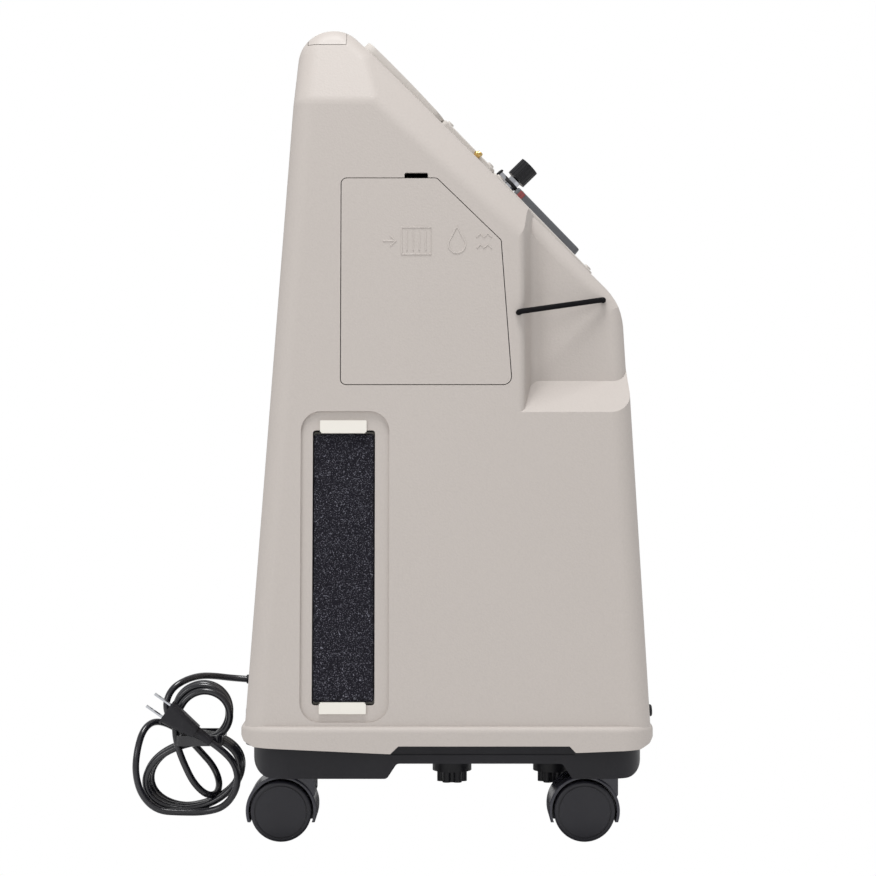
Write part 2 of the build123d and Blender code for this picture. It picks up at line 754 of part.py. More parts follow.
with BuildPart() as instrument_bezel:
    with BuildSketch(SLOPE.offset(CONTROL_HEIGHT)):
        with Locations(gauge_middle):
            RectangleRounded(*gauge_size, 3)
    extrude(amount=GAUGE_FACE - CONTROL_HEIGHT)
    fillet(instrument_bezel.faces().sort_by(SLOPE_OUT)[-1].outer_wire().edges(), 1.2)
    with BuildSketch(SLOPE):
        with Locations(BLOCK_MIDDLE):
            Rectangle(BLOCK_SIZE[0] + 0.4, BLOCK_SIZE[1] + 0.4)
    extrude(amount=20, mode=Mode.SUBTRACT)
    # finger-width scallop at the lower end, and the ledge marks along the edge
    with BuildSketch(SLOPE):
        with Locations((GAUGE_U[1] - 14, GAUGE_Y[0])):
            Circle(5)
    extrude(amount=5.5, mode=Mode.SUBTRACT)
    with BuildSketch(SLOPE):
        with Locations(*[(GAUGE_U[0] + 9 + 8 * step, GAUGE_Y[0]) for step in range(6)]):
            Rectangle(3, 3)
    extrude(amount=4.2, mode=Mode.SUBTRACT)
save(instrument_bezel.part, "instrument_bezel")

block_start = BLOCK_MIDDLE[0] - BLOCK_SIZE[0] / 2
float_rest = block_start + BLOCK_SIZE[0] - 5 - FLOAT
BORE_PLANE = Plane(
    origin=SLOPE.from_local_coords(Vector(float_rest, gauge_middle[1], BORE_N)),
    x_dir=(0, 1, 0),
    z_dir=-SLOPE.x_dir,
)

with BuildPart() as flowmeter_block:
    with BuildSketch(SLOPE.offset(CONTROL_HEIGHT)):
        with Locations(BLOCK_MIDDLE):
            Rectangle(*BLOCK_SIZE)
    extrude(amount=BLOCK_TOP - CONTROL_HEIGHT)
    with BuildSketch(BORE_PLANE.offset(-FLOAT - 1)):
        Circle(BORE)
    extrude(amount=FLOAT_TRAVEL + 2 * FLOAT + 2, mode=Mode.SUBTRACT)
save(flowmeter_block.part, "flowmeter_block")

with BuildPart() as flowmeter_float:
    with Locations(BORE_PLANE.origin):
        Sphere(FLOAT)
save(flowmeter_float.part, "flowmeter_float")

KNOB_FOOT = 16.0
KNOB_HEIGHT = 16.4
KNOB_RADIUS = 9.0
STEM = 3.0

with BuildPart() as flow_valve:
    with BuildSketch(SLOPE.offset(CONTROL_HEIGHT)):
        with Locations(VALVE_AT):
            RegularPolygon(6.8, 6)
    extrude(amount=4.5)
    with BuildSketch(SLOPE.offset(CONTROL_HEIGHT + 4.5)):
        with Locations(VALVE_AT):
            Circle(5.4)
    extrude(amount=KNOB_FOOT - 1 - CONTROL_HEIGHT - 4.5)
    with BuildSketch(SLOPE.offset(-22)):
        with Locations(VALVE_AT):
            Circle(VALVE_HOLE - 0.1)
    extrude(amount=22 + CONTROL_HEIGHT)
    with BuildSketch(SLOPE.offset(8)):
        with Locations(VALVE_AT):
            Circle(STEM + 0.05)
    extrude(amount=20, mode=Mode.SUBTRACT)
    # the side port with its small plug, up the slope from the nut
    port = Plane(
        origin=SLOPE.from_local_coords(Vector(VALVE_AT[0] - 4, VALVE_AT[1], 9)),
        x_dir=(0, 1, 0),
        z_dir=-SLOPE.x_dir,
    )
    with BuildSketch(port):
        Circle(3.4)
    extrude(amount=9)
save(flow_valve.part, "flow_valve")

with BuildPart() as flow_knob:
    with BuildSketch(SLOPE.offset(KNOB_FOOT)):
        with Locations(VALVE_AT):
            Circle(KNOB_RADIUS)
            with PolarLocations(KNOB_RADIUS + 0.5, 18):
                Circle(1.0, mode=Mode.SUBTRACT)
    extrude(amount=KNOB_HEIGHT)
    with BuildSketch(SLOPE.offset(9)):
        with Locations(VALVE_AT):
            Circle(STEM)
    extrude(amount=KNOB_FOOT - 9)
save(flow_knob.part, "flow_knob")

with BuildPart() as oxygen_outlet:
    with BuildSketch(SLOPE.offset(-20)):
        with Locations(OUTLET_AT):
            Circle(4.0)
    extrude(amount=20 + OUTLET_PANEL_HEIGHT)
    with BuildSketch(SLOPE.offset(OUTLET_PANEL_HEIGHT)):
        with Locations(OUTLET_AT):
            RegularPolygon(6.4, 6)
    extrude(amount=3.5)
    barb = Plane(
        origin=SLOPE.from_local_coords(Vector(*OUTLET_AT, OUTLET_PANEL_HEIGHT + 3.5)),
        x_dir=SLOPE.x_dir,
        z_dir=(0, -1, 0),
    )
    with BuildSketch(barb):
        with BuildLine():
            Polyline(
                (0, 0), (3.0, 0), (3.0, 1.6), (3.7, 2.2), (2.6, 4.6), (3.5, 5.0), (2.2, 8.6), (0, 8.6), close=True
            )
        make_face()
    revolve(axis=Axis(barb.origin, SLOPE.z_dir))
    with BuildSketch(SLOPE.offset(-20)):
        with Locations(OUTLET_AT):
            Circle(1.5)
    extrude(amount=40, mode=Mode.SUBTRACT)
save(oxygen_outlet.part, "oxygen_outlet")

ROCKER_PIVOT = 3.0  # height of the rocker's pin above the slope
ROCKER = (24.0, 17.0)

with BuildPart() as switch_frame:
    with BuildSketch(SLOPE.offset(-16)):
        with Locations(ROCKER_AT):
            Rectangle(ROCKER_HOLE[0] - 0.4, ROCKER_HOLE[1] - 0.4)
    extrude(amount=16 + CONTROL_HEIGHT)
    with BuildSketch(SLOPE.offset(CONTROL_HEIGHT)):
        with Locations(ROCKER_AT):
            RectangleRounded(ROCKER_HOLE[0] + 4, ROCKER_HOLE[1] + 4, 2)
    extrude(amount=3.2)
    with BuildSketch(SLOPE.offset(-9)):
        with Locations(ROCKER_AT):
            Rectangle(ROCKER[0] + 1.6, ROCKER[1] + 1.0)
    extrude(amount=30, mode=Mode.SUBTRACT)
    # pin holes for the rocker
    with BuildSketch(
        Plane(
            origin=SLOPE.from_local_coords(Vector(ROCKER_AT[0], ROCKER_AT[1], ROCKER_PIVOT - 1)),
            x_dir=SLOPE.x_dir,
            z_dir=(0, -1, 0),
        )
    ):
        Circle(1.25)
    extrude(amount=ROCKER[1] / 2 + 1.7, both=True, mode=Mode.SUBTRACT)
save(switch_frame.part, "switch_frame")

with BuildPart() as power_rocker:
    pivot = Plane(
        origin=SLOPE.from_local_coords(Vector(ROCKER_AT[0], ROCKER_AT[1], ROCKER_PIVOT - 1)),
        x_dir=SLOPE.x_dir,
        z_dir=(0, -1, 0),
    )
    half = ROCKER[0] / 2
    with BuildSketch(pivot):
        with BuildLine():
            Polyline(
                (-half, 2.0), (-half + 1, -4.5), (half - 1, -4.5), (half, 2.0), (half - 0.6, 6.8)
            )
            ThreePointArc((half - 0.6, 6.8), (0, 2.9), (-half + 0.6, 3.4))
            Line((-half + 0.6, 3.4), (-half, 2.0))
        make_face()
    extrude(amount=ROCKER[1] / 2, both=True)
    with BuildSketch(pivot):
        Circle(1.2)
    extrude(amount=ROCKER[1] / 2 + 1.5, both=True)
save(power_rocker.part, "power_rocker")

with BuildPart() as breaker_body:
    with BuildSketch(SLOPE.offset(-18)):
        with Locations(BREAKER_AT):
            Circle(BREAKER_HOLE - 0.2)
    extrude(amount=18 + CONTROL_HEIGHT)
    with BuildSketch(SLOPE.offset(CONTROL_HEIGHT)):
        with Locations(BREAKER_AT):
            RegularPolygon(8.5, 6)
    extrude(amount=2.6)
    with BuildSketch(SLOPE.offset(-8)):
        with Locations(BREAKER_AT):
            Circle(3.55)
    extrude(amount=20, mode=Mode.SUBTRACT)
save(breaker_body.part, "breaker_body")

with BuildPart() as breaker_button:
    with BuildSketch(SLOPE.offset(-4)):
        with Locations(BREAKER_AT):
            Circle(3.5)
    extrude(amount=11.5)
    fillet(breaker_button.faces().sort_by(SLOPE_OUT)[-1].edges(), 0.8)
save(breaker_button.part, "breaker_button")

with BuildPart() as hour_meter:
    with BuildSketch(SLOPE.offset(-20)):
        with Locations(METER_AT):
            Rectangle(METER_HOLE[0] - 0.4, METER_HOLE[1] - 0.4)
    extrude(amount=20 + CONTROL_HEIGHT)
    with BuildSketch(SLOPE.offset(CONTROL_HEIGHT)):
        with Locations(METER_AT):
            RectangleRounded(METER_HOLE[0] + 4, METER_HOLE[1] + 4, 2)
    extrude(amount=3.0)
    with BuildSketch(SLOPE.offset(CONTROL_HEIGHT + 1.6)):
        with Locations(METER_AT):
            Rectangle(26, 9)
    extrude(amount=5, mode=Mode.SUBTRACT)
save(hour_meter.part, "hour_meter")

with BuildPart() as indicator_lenses:
    for y in LENS_Y:
        with BuildSketch(SLOPE.offset(-6)):
            with Locations((LENS_U, y)):
                Circle(3.0)
        extrude(amount=6 + CONTROL_HEIGHT + 0.6)
        lens = SLOPE.from_local_coords(Vector(LENS_U, y, CONTROL_HEIGHT + 0.6))
        with Locations(Plane(origin=lens, z_dir=SLOPE.z_dir)):
            Sphere(3.0, arc_size1=0, align=ON_TOP)
    dome = SLOPE.from_local_coords(Vector(GAUGE_U[0] + 4, GAUGE_Y[1] - 9, GAUGE_FACE))
    with Locations(Plane(origin=dome, z_dir=SLOPE.z_dir)):
        Sphere(3.4, arc_size1=0, align=ON_TOP)
save(indicator_lenses.part, "indicator_lenses")

PANEL_SCREW_SPOTS = [
    (u, side * (COVER_HALF_WIDTH - 7)) for u in (96, 144, 157, 262) for side in (-1, 1)
]
with BuildPart() as panel_screws:
    for u, y in PANEL_SCREW_SPOTS:
        height = OUTLET_PANEL_HEIGHT if u < OUTLET_PANEL_U[1] else CONTROL_HEIGHT
        with BuildSketch(SLOPE.offset(height)):
            with Locations((u, y)):
                Circle(3.0)
        extrude(amount=1.8)
        with BuildSketch(SLOPE.offset(height + 0.6)):
            with Locations((u, y)):
                Rectangle(3.6, 0.8)
                Rectangle(0.8, 3.6)
        extrude(amount=3, mode=Mode.SUBTRACT)
save(panel_screws.part, "panel_screws")

with BuildPart() as cabinet_screws:
    for wall, head_height in ((FRONT, FRONT_SCREW_HEAD), (REAR, REAR_SCREW_HEAD)):
        with BuildSketch(wall):
            with Locations(*SCREW_SPOTS):
                Circle(5)
        extrude(amount=head_height)
        heads = cabinet_screws.faces().sort_by(Axis(wall.origin, wall.z_dir))[-2:]
        fillet(heads.edges(), 1.6)
        with BuildSketch(wall.offset(-12)):
            with Locations(*SCREW_SPOTS):
                Circle(SCREW_HOLE - 0.2)
        extrude(amount=12)
save(cabinet_screws.part, "cabinet_screws")


# ---------------------------------------------------------------- base pan and casters
PAN_WALL = 3.5
PAN_CORNER = 30.0
PAN_STEP = 8.0  # length of the slope into the middle section
BOSS_RADIUS = 10.0
KNOB_RADIUS_AT_PAN = 16.5
STEM_RADIUS = 5.5
STEM_TOP = 79.0
CASTER_SPOTS = {
    "rear_right": (CASTER_X[0], -CASTER_Y),
    "front_right": (CASTER_X[1], -CASTER_Y),
    "rear_left": (CASTER_X[0], CASTER_Y),
    "front_left": (CASTER_X[1], CASTER_Y),
}
KNOB_SPOTS = [(x, y) for x in KNOB_X for y in (-KNOB_Y, KNOB_Y)]
VENTS = (0, 16, 1, 9)  # pitch in X and Y and how many of each, for the exhaust slots
HUB_X = -35.0  # the compressor and the fan share this X


def pan_profile(inset):
    """The pan's side outline in X and Z, moved in by inset."""
    left, right = PAN_MIDDLE
    with BuildSketch() as outline:
        with BuildLine():
            FilletPolyline(
                (PAN_REAR, PAN_FLANGE_Z),
                (PAN_REAR, PAN_BOTTOM),
                (left - PAN_STEP / 2, PAN_BOTTOM),
                (left + PAN_STEP / 2, PAN_MIDDLE_BOTTOM),
                (right - PAN_STEP / 2, PAN_MIDDLE_BOTTOM),
                (right + PAN_STEP / 2, PAN_BOTTOM),
                (PAN_FRONT, PAN_BOTTOM),
                (PAN_FRONT, PAN_FLANGE_Z),
                radius=[16, 4, 4, 4, 4, 14],
            )
            Line((PAN_FRONT, PAN_FLANGE_Z), (PAN_REAR, PAN_FLANGE_Z))
        make_face()
        if inset:
            offset(amount=-inset, kind=Kind.INTERSECTION)
    return outline.sketch


with BuildPart() as pan_hollow:
    with BuildSketch(Plane.XZ):
        add(pan_profile(PAN_WALL))
    extrude(amount=PAN_HALF_WIDTH, both=True)
    with BuildSketch(Plane.XY.offset(PAN_BOTTOM - 1)):
        with Locations(((PAN_FRONT + PAN_REAR) / 2, 0)):
            RectangleRounded(
                PAN_FRONT - PAN_REAR - 2 * PAN_WALL, 2 * (PAN_HALF_WIDTH - PAN_WALL), PAN_CORNER - PAN_WALL
            )
    extrude(amount=60, mode=Mode.INTERSECT)
    with BuildSketch(Plane.XY.offset(PAN_FLANGE_Z - PAN_WALL - 1)):
        with Locations(((PAN_FRONT + PAN_REAR) / 2, 0)):
            RectangleRounded(
                PAN_FRONT - PAN_REAR - 2 * PAN_WALL, 2 * (PAN_HALF_WIDTH - PAN_WALL), PAN_CORNER - PAN_WALL
            )
    extrude(amount=30)

with BuildPart() as base_pan:
    with BuildSketch(Plane.XZ):
        add(pan_profile(0))
    extrude(amount=PAN_HALF_WIDTH, both=True)
    with BuildSketch(Plane.XY.offset(PAN_BOTTOM - 1)):
        with Locations(((PAN_FRONT + PAN_REAR) / 2, 0)):
            RectangleRounded(PAN_FRONT - PAN_REAR, 2 * PAN_HALF_WIDTH, PAN_CORNER)
    extrude(amount=40, mode=Mode.INTERSECT)
    add(pan_hollow.part, mode=Mode.SUBTRACT)
    # the flange that the cabinet drops over
    with BuildSketch(Plane.XY.offset(PAN_FLANGE_Z)):
        with Locations((middle, 0)):
            RectangleRounded(length - 2 * WALL - 1.2, 2 * (SKIRT_HALF_WIDTH - WALL) - 1.2, SKIRT_CORNER - WALL)
        with Locations(((PAN_FRONT + PAN_REAR) / 2, 0)):
            RectangleRounded(
                PAN_FRONT - PAN_REAR - 2 * PAN_WALL,
                2 * (PAN_HALF_WIDTH - PAN_WALL),
                PAN_CORNER - PAN_WALL,
                mode=Mode.SUBTRACT,
            )
    extrude(amount=PAN_FLANGE)
    # raised bands along the middle section's sides
    for way in (-1, 1):
        with BuildSketch(Plane.XZ.offset(way * (PAN_HALF_WIDTH - 1))):
            with Locations((sum(PAN_MIDDLE) / 2, 74.5)):
                RectangleRounded(PAN_MIDDLE[1] - PAN_MIDDLE[0] + 12, 3.0, 1.4)
        extrude(amount=way * 2.2)
    # bosses for the caster stems, and holes for the shipping knobs and the exhaust
    with BuildSketch(Plane.XY.offset(PAN_BOTTOM + 1)):
        with Locations(*CASTER_SPOTS.values()):
            Circle(BOSS_RADIUS)
    extrude(amount=STEM_TOP + 2 - PAN_BOTTOM - 1)
    with BuildSketch(Plane.XY.offset(PAN_BOTTOM - 5)):
        with Locations(*CASTER_SPOTS.values()):
            Circle(STEM_RADIUS + 0.05)
    extrude(amount=STEM_TOP + 0.5 - PAN_BOTTOM + 5, mode=Mode.SUBTRACT)
    with BuildSketch(Plane.XY.offset(PAN_BOTTOM - 1)):
        with Locations(*KNOB_SPOTS):
            Circle(KNOB_RADIUS_AT_PAN + 0.8)
    extrude(amount=PAN_MIDDLE_BOTTOM - PAN_BOTTOM + 1, mode=Mode.SUBTRACT)
    with BuildSketch(Plane.XY.offset(PAN_BOTTOM)):
        with Locations(*KNOB_SPOTS):
            Circle(4.3)
        with Locations((HUB_X + 50, 0)):
            with GridLocations(*VENTS):
                SlotOverall(60, 6)
    extrude(amount=24, mode=Mode.SUBTRACT)
save(base_pan.part, "base_pan")

HOOD_RADIUS = 29.0
HOOD_WELL = 26.6
HOOD_NECK = (14.0, 27.0, 20.0)  # how far ahead of the axle, length and height
WEB = WHEEL_SPACING
AXLE_RADIUS = 4.0
HOOD_TOP = PAN_BOTTOM - 0.7
HOOD_WIDTH = 2 * WHEEL_WIDTH + WEB - 2


def caster_hood(x, y):
    """The swivelling hood of a twin-wheel caster, with its stem up into the pan."""
    centre = x - CASTER_TRAIL
    side = Plane(origin=(centre, y, WHEEL_RADIUS), x_dir=(1, 0, 0), z_dir=(0, -1, 0))
    top = HOOD_TOP - WHEEL_RADIUS
    with BuildPart() as hood:
        with BuildSketch(side):
            Circle(HOOD_RADIUS)
        extrude(amount=HOOD_WIDTH / 2, both=True)
        fillet(hood.edges().filter_by(GeomType.CIRCLE), 1.2)
        with BuildSketch(side):
            with Locations((HOOD_NECK[0], top - HOOD_NECK[2] / 2)):
                RectangleRounded(*HOOD_NECK[1:], 3)
        extrude(amount=HOOD_WIDTH / 2 - 1.5, both=True)
        with BuildSketch(side):
            Circle(HOOD_WELL)
        extrude(amount=HOOD_WIDTH, both=True, mode=Mode.SUBTRACT)
        with BuildSketch(side):
            Circle(HOOD_WELL + 1)
        extrude(amount=WEB / 2, both=True)
        with BuildSketch(side):
            with Locations((0, -HOOD_RADIUS - 9)):
                Rectangle(3 * HOOD_RADIUS, 2 * HOOD_RADIUS)
        extrude(amount=HOOD_WIDTH, both=True, mode=Mode.SUBTRACT)
        with BuildSketch(side):
            Circle(AXLE_RADIUS + 3)
        extrude(amount=WEB / 2, both=True)
        with BuildSketch(side):
            Circle(AXLE_RADIUS + 0.05)
        extrude(amount=WEB, both=True, mode=Mode.SUBTRACT)
        with BuildSketch(Plane.XY.offset(HOOD_TOP - 8)):
            with Locations((x, y)):
                Circle(STEM_RADIUS)
        extrude(amount=STEM_TOP - HOOD_TOP + 8)
    return hood.part


def caster_wheels(x, y):
    """Both wheels of a caster on one axle."""
    centre = x - CASTER_TRAIL
    side = Plane(origin=(centre, y, WHEEL_RADIUS), x_dir=(1, 0, 0), z_dir=(0, -1, 0))
    inner = WEB / 2 + 0.6
    with BuildPart() as wheels:
        for way in (-1, 1):
            with BuildSketch(side.offset(way * inner)):
                Circle(WHEEL_RADIUS)
            extrude(amount=way * WHEEL_WIDTH)
        rims = wheels.edges().filter_by(GeomType.CIRCLE)
        fillet(rims, 2.2)
        for way in (-1, 1):
            with BuildSketch(side.offset(way * (inner + WHEEL_WIDTH))):
                Circle(WHEEL_RADIUS - 3.2)
                Circle(WHEEL_RADIUS - 4.4, mode=Mode.SUBTRACT)
            extrude(amount=-way * 1.0, mode=Mode.SUBTRACT)
        with BuildSketch(side):
            Circle(AXLE_RADIUS)
        extrude(amount=WEB / 2 + 2, both=True)
    return wheels.part


for corner_name, (x, y) in CASTER_SPOTS.items():
    save(caster_hood(x, y), f"caster_hood_{corner_name}")
    save(caster_wheels(x, y), f"caster_wheels_{corner_name}")

with BuildPart() as shipping_knobs:
    for x, y in KNOB_SPOTS:
        with BuildSketch(Plane.XY.offset(PAN_MIDDLE_BOTTOM)):
            with Locations((x, y)):
                Circle(KNOB_RADIUS_AT_PAN)
        extrude(amount=-KNOB_SKIRT)
        with BuildSketch(Plane.XY.offset(PAN_MIDDLE_BOTTOM - KNOB_SKIRT)):
            with Locations((x, y)):
                Circle(LOBE_CORE)
                with PolarLocations(LOBE_CORE - 0.5, 6):
                    Circle(LOBE_RADIUS)
        extrude(amount=-KNOB_LOBES)
        with BuildSketch(Plane.XY.offset(PAN_MIDDLE_BOTTOM - 1)):
            with Locations((x, y)):
                Circle(4)
        extrude(amount=16)
save(shipping_knobs.part, "shipping_knobs")


# ---------------------------------------------------------------- works inside the cabinet
BULKHEAD_X = 32.0
BED_AT = [(88.0, -75.0), (88.0, 75.0)]
BED_RADIUS = 41.0
BED_TOP = 398.0
TANK_AT = (-98.0, 148.0)
TANK_RADIUS = 33.0
MUFFLER_AT = (-14.0, -150.0)
TANK_TOP = 380.0
FAN_Z = 238.0
FAN_RADIUS = 68.0
SHROUD_HALF = 66.0

with BuildPart() as internal_chassis:
    with BuildSketch(Plane.XY.offset(DECK_Z)):
        with Locations(((PAN_FRONT + PAN_REAR) / 2, 0)):
            RectangleRounded(PAN_FRONT - PAN_REAR + 4, 2 * PAN_HALF_WIDTH + 4, 24)
        with Locations((HUB_X + 50, 0)):
            with GridLocations(*VENTS):
                SlotOverall(40, 6, mode=Mode.SUBTRACT)
    extrude(amount=DECK)
    with BuildSketch(Plane.YZ.offset(BULKHEAD_X)):
        with Locations((0, FLOOR + 175)):
            RectangleRounded(288, 350, 8)
        with Locations((0, 150)):
            SlotOverall(120, 30, mode=Mode.SUBTRACT)
        with Locations((0, 300)):
            Circle(20, mode=Mode.SUBTRACT)
    extrude(amount=2)
    with BuildSketch(Plane.XY.offset(FLOOR)):
        with Locations((BULKHEAD_X - 8, 0)):
            Rectangle(16, 288)
    extrude(amount=2)
save(internal_chassis.part, "internal_chassis")

SPRING_SPOTS = [(HUB_X + dx, dy) for dx in (-42, 36) for dy in (-55, 55)]
SPRING_TOP = FLOOR + 16
SPRING_SEAT = 9.0
with BuildPart() as isolator_springs:
    for x, y in SPRING_SPOTS:
        with BuildSketch(Plane.XY.offset(FLOOR)):
            with Locations((x, y)):
                Circle(SPRING_SEAT)
                Circle(4, mode=Mode.SUBTRACT)
        extrude(amount=2)
        with BuildSketch(Plane.XY.offset(FLOOR + 2)):
            with Locations((x, y)):
                Circle(7.5)
                Circle(5, mode=Mode.SUBTRACT)
        extrude(amount=SPRING_TOP - FLOOR - 4)
        with BuildSketch(Plane.XY.offset(SPRING_TOP - 2)):
            with Locations((x, y)):
                Circle(SPRING_SEAT)
                Circle(4, mode=Mode.SUBTRACT)
        extrude(amount=2)
save(isolator_springs.part, "isolator_springs")

MOTOR_RADIUS = 50.0
MOTOR_Z = SPRING_TOP + 4 + MOTOR_RADIUS
with BuildPart() as compressor_body:
    with BuildSketch(Plane.XY.offset(SPRING_TOP)):
        with Locations((HUB_X - 3, 0)):
            RectangleRounded(104, 136, 8)
    extrude(amount=4)
    with BuildSketch(Plane.XZ.offset(-62)):
        with Locations((HUB_X, MOTOR_Z)):
            Circle(MOTOR_RADIUS)
    extrude(amount=124)
    for y in range(-44, 45, 11):
        with BuildSketch(Plane.XZ.offset(-y - 1.5)):
            with Locations((HUB_X, MOTOR_Z)):
                Circle(MOTOR_RADIUS + 3)
                with Locations((0, -MOTOR_RADIUS)):
                    Rectangle(120, 60, mode=Mode.SUBTRACT)
        extrude(amount=3)
    with BuildSketch(Plane.XZ.offset(-44)):
        with Locations((HUB_X, MOTOR_Z - MOTOR_RADIUS / 2)):
            Rectangle(60, MOTOR_RADIUS)
    extrude(amount=88)
save(compressor_body.part, "compressor_body")

with BuildPart() as compressor_heads:
    for way in (-1, 1):
        end = Plane(origin=(HUB_X, way * 62, MOTOR_Z), x_dir=(1, 0, 0), z_dir=(0, way, 0))
        with BuildSketch(end):
            RectangleRounded(78, 78, 8)
        extrude(amount=6)
        for level in (8, 13, 18):
            with BuildSketch(end.offset(level)):
                RectangleRounded(70, 70, 6)
            extrude(amount=2.5)
        with BuildSketch(end.offset(6)):
            Circle(26)
        extrude(amount=20)
        with BuildSketch(Plane.XY.offset(MOTOR_Z)):
            with Locations((HUB_X + 20, way * 70)):
                Circle(4.5)
        extrude(amount=52)
save(compressor_heads.part, "compressor_heads")

with BuildPart() as sieve_beds:
    for x, y in BED_AT:
        with BuildSketch(Plane.XY.offset(FLOOR)):
            with Locations((x, y)):
                Circle(BED_RADIUS)
        extrude(amount=BED_TOP - FLOOR)
        for z in (FLOOR, BED_TOP - 12):
            with BuildSketch(Plane.XY.offset(z)):
                with Locations((x, y)):
                    Circle(BED_RADIUS + 3)
            extrude(amount=12)
save(sieve_beds.part, "sieve_beds")

with BuildPart() as valve_manifold:
    with BuildSketch(Plane.XY.offset(BED_TOP)):
        with Locations((84, 0)):
            RectangleRounded(58, 214, 5)
    extrude(amount=22)
    with BuildSketch(Plane.YZ.offset(40)):
        with Locations((0, BED_TOP + 11)):
            Circle(6)
    extrude(amount=20)
save(valve_manifold.part, "valve_manifold")

with BuildPart() as solenoid_coils:
    for y in (-78, -30, 30, 78):
        with BuildSketch(Plane.XY.offset(BED_TOP + 22)):
            with Locations((72, y)):
                RectangleRounded(22, 26, 3)
        extrude(amount=20)
        with BuildSketch(Plane.XY.offset(BED_TOP + 42)):
            with Locations((72, y)):
                Circle(6)
        extrude(amount=6)
save(solenoid_coils.part, "solenoid_coils")

with BuildPart() as product_tank:
    with BuildSketch(Plane.XY.offset(FLOOR)):
        with Locations(TANK_AT):
            Circle(TANK_RADIUS)
    extrude(amount=TANK_TOP - FLOOR)
    fillet(product_tank.edges().filter_by(GeomType.CIRCLE), 10)
    with BuildSketch(Plane.XY.offset(TANK_TOP - 1)):
        with Locations(TANK_AT):
            Circle(5)
    extrude(amount=13)
save(product_tank.part, "product_tank")

with BuildPart() as run_capacitor:
    with BuildSketch(Plane.XY.offset(FLOOR)):
        with Locations((-112, -150)):
            SlotOverall(60, 34)
    extrude(amount=84)
    with BuildSketch(Plane.XY.offset(FLOOR + 84)):
        with Locations((-122, -150), (-102, -150)):
            Rectangle(6, 1.5)
    extrude(amount=9)
save(run_capacitor.part, "run_capacitor")

with BuildPart() as exhaust_muffler:
    with BuildSketch(Plane.XY.offset(FLOOR)):
        with Locations(MUFFLER_AT):
            Circle(26)
    extrude(amount=130)
    fillet(exhaust_muffler.edges().filter_by(GeomType.CIRCLE), 6)
    with BuildSketch(Plane.XY.offset(FLOOR + 129)):
        with Locations(MUFFLER_AT):
            Circle(6)
    extrude(amount=16)
save(exhaust_muffler.part, "exhaust_muffler")

SHAFT = 2.5
with BuildPart() as fan_shroud:
    with BuildSketch(Plane.XY.offset(FAN_Z)):
        with Locations((HUB_X, 0)):
            RectangleRounded(2 * SHROUD_HALF, 2 * FAN_RADIUS + 14, 6)
            Circle(FAN_RADIUS - 6, mode=Mode.SUBTRACT)
    extrude(amount=30)
    with BuildSketch(Plane.XY.offset(FAN_Z)):
        with Locations((HUB_X, 0)):
            Rectangle(2 * SHROUD_HALF - 4, 8)
            Rectangle(8, 2 * FAN_RADIUS - 4)
            Circle(19)
    extrude(amount=4)
    with BuildSketch(Plane.XY.offset(FAN_Z + 4)):
        with Locations((HUB_X, 0)):
            Circle(17)
    extrude(amount=6)
    with BuildSketch(Plane.XY.offset(FAN_Z - 1)):
        with Locations((HUB_X, 0)):
            Circle(SHAFT + 0.05)
    extrude(amount=20, mode=Mode.SUBTRACT)
save(fan_shroud.part, "fan_shroud")

with BuildPart() as fan_rotor:
    with BuildSketch(Plane.XY.offset(FAN_Z + 11)):
        with Locations((HUB_X, 0)):
            Circle(20)
    extrude(amount=14)
    with BuildSketch(Plane.XY.offset(FAN_Z + 2)):
        with Locations((HUB_X, 0)):
            Circle(SHAFT)
    extrude(amount=10)
    for step in range(5):
        blade = Plane(
            origin=(
                HUB_X + 18 * cos(radians(72 * step)),
                18 * sin(radians(72 * step)),
                FAN_Z + 18,
            ),
            x_dir=(-sin(radians(72 * step)), cos(radians(72 * step)), 0.55),
            z_dir=(cos(radians(72 * step)), sin(radians(72 * step)), 0),
        )
        with BuildSketch(blade):
            RectangleRounded(28, 1.8, 0.8)
        extrude(amount=40)
save(fan_rotor.part, "fan_rotor")

with BuildPart() as heat_exchanger:
    for x in range(-60, 61, 8):
        with BuildSketch(Plane.YZ.offset(HUB_X + x)):
            with Locations((0, FAN_Z + 30 + 13)):
                Rectangle(126, 26)
        extrude(amount=1)
    for y in (-45, -15, 15, 45):
        with BuildSketch(Plane.YZ.offset(HUB_X - 62)):
            with Locations((y, FAN_Z + 43)):
                Circle(5)
        extrude(amount=125)
save(heat_exchanger.part, "heat_exchanger")

BOARD_Z = 380.0
with BuildPart() as circuit_board:
    with BuildSketch(Plane.YZ.offset(BULKHEAD_X - 8)):
        with Locations((-40, BOARD_Z)):
            Rectangle(130, 90)
    extrude(amount=1.6)
    with BuildSketch(Plane.YZ.offset(BULKHEAD_X - 6.4)):
        with Locations((-40, BOARD_Z)):
            with GridLocations(116, 76, 2, 2):
                Circle(3)
    extrude(amount=6.4)
    for y, z, wide, tall, deep in ((-80, 395, 24, 30, 22), (-44, 398, 30, 16, 10), (-10, 390, 18, 34, 16), (-60, 355, 40, 12, 12)):
        with BuildSketch(Plane.YZ.offset(BULKHEAD_X - 8 - deep)):
            with Locations((y, z)):
                Rectangle(wide, tall)
        extrude(amount=deep)
save(circuit_board.part, "circuit_board")

with BuildPart() as pressure_regulator:
    with BuildSketch(Plane.YZ.offset(BULKHEAD_X - 30)):
        with Locations((95, 400)):
            RectangleRounded(34, 34, 4)
    extrude(amount=30)
    with BuildSketch(Plane.XY.offset(417)):
        with Locations((BULKHEAD_X - 16, 95)):
            Circle(12)
    extrude(amount=14)
save(pressure_regulator.part, "pressure_regulator")



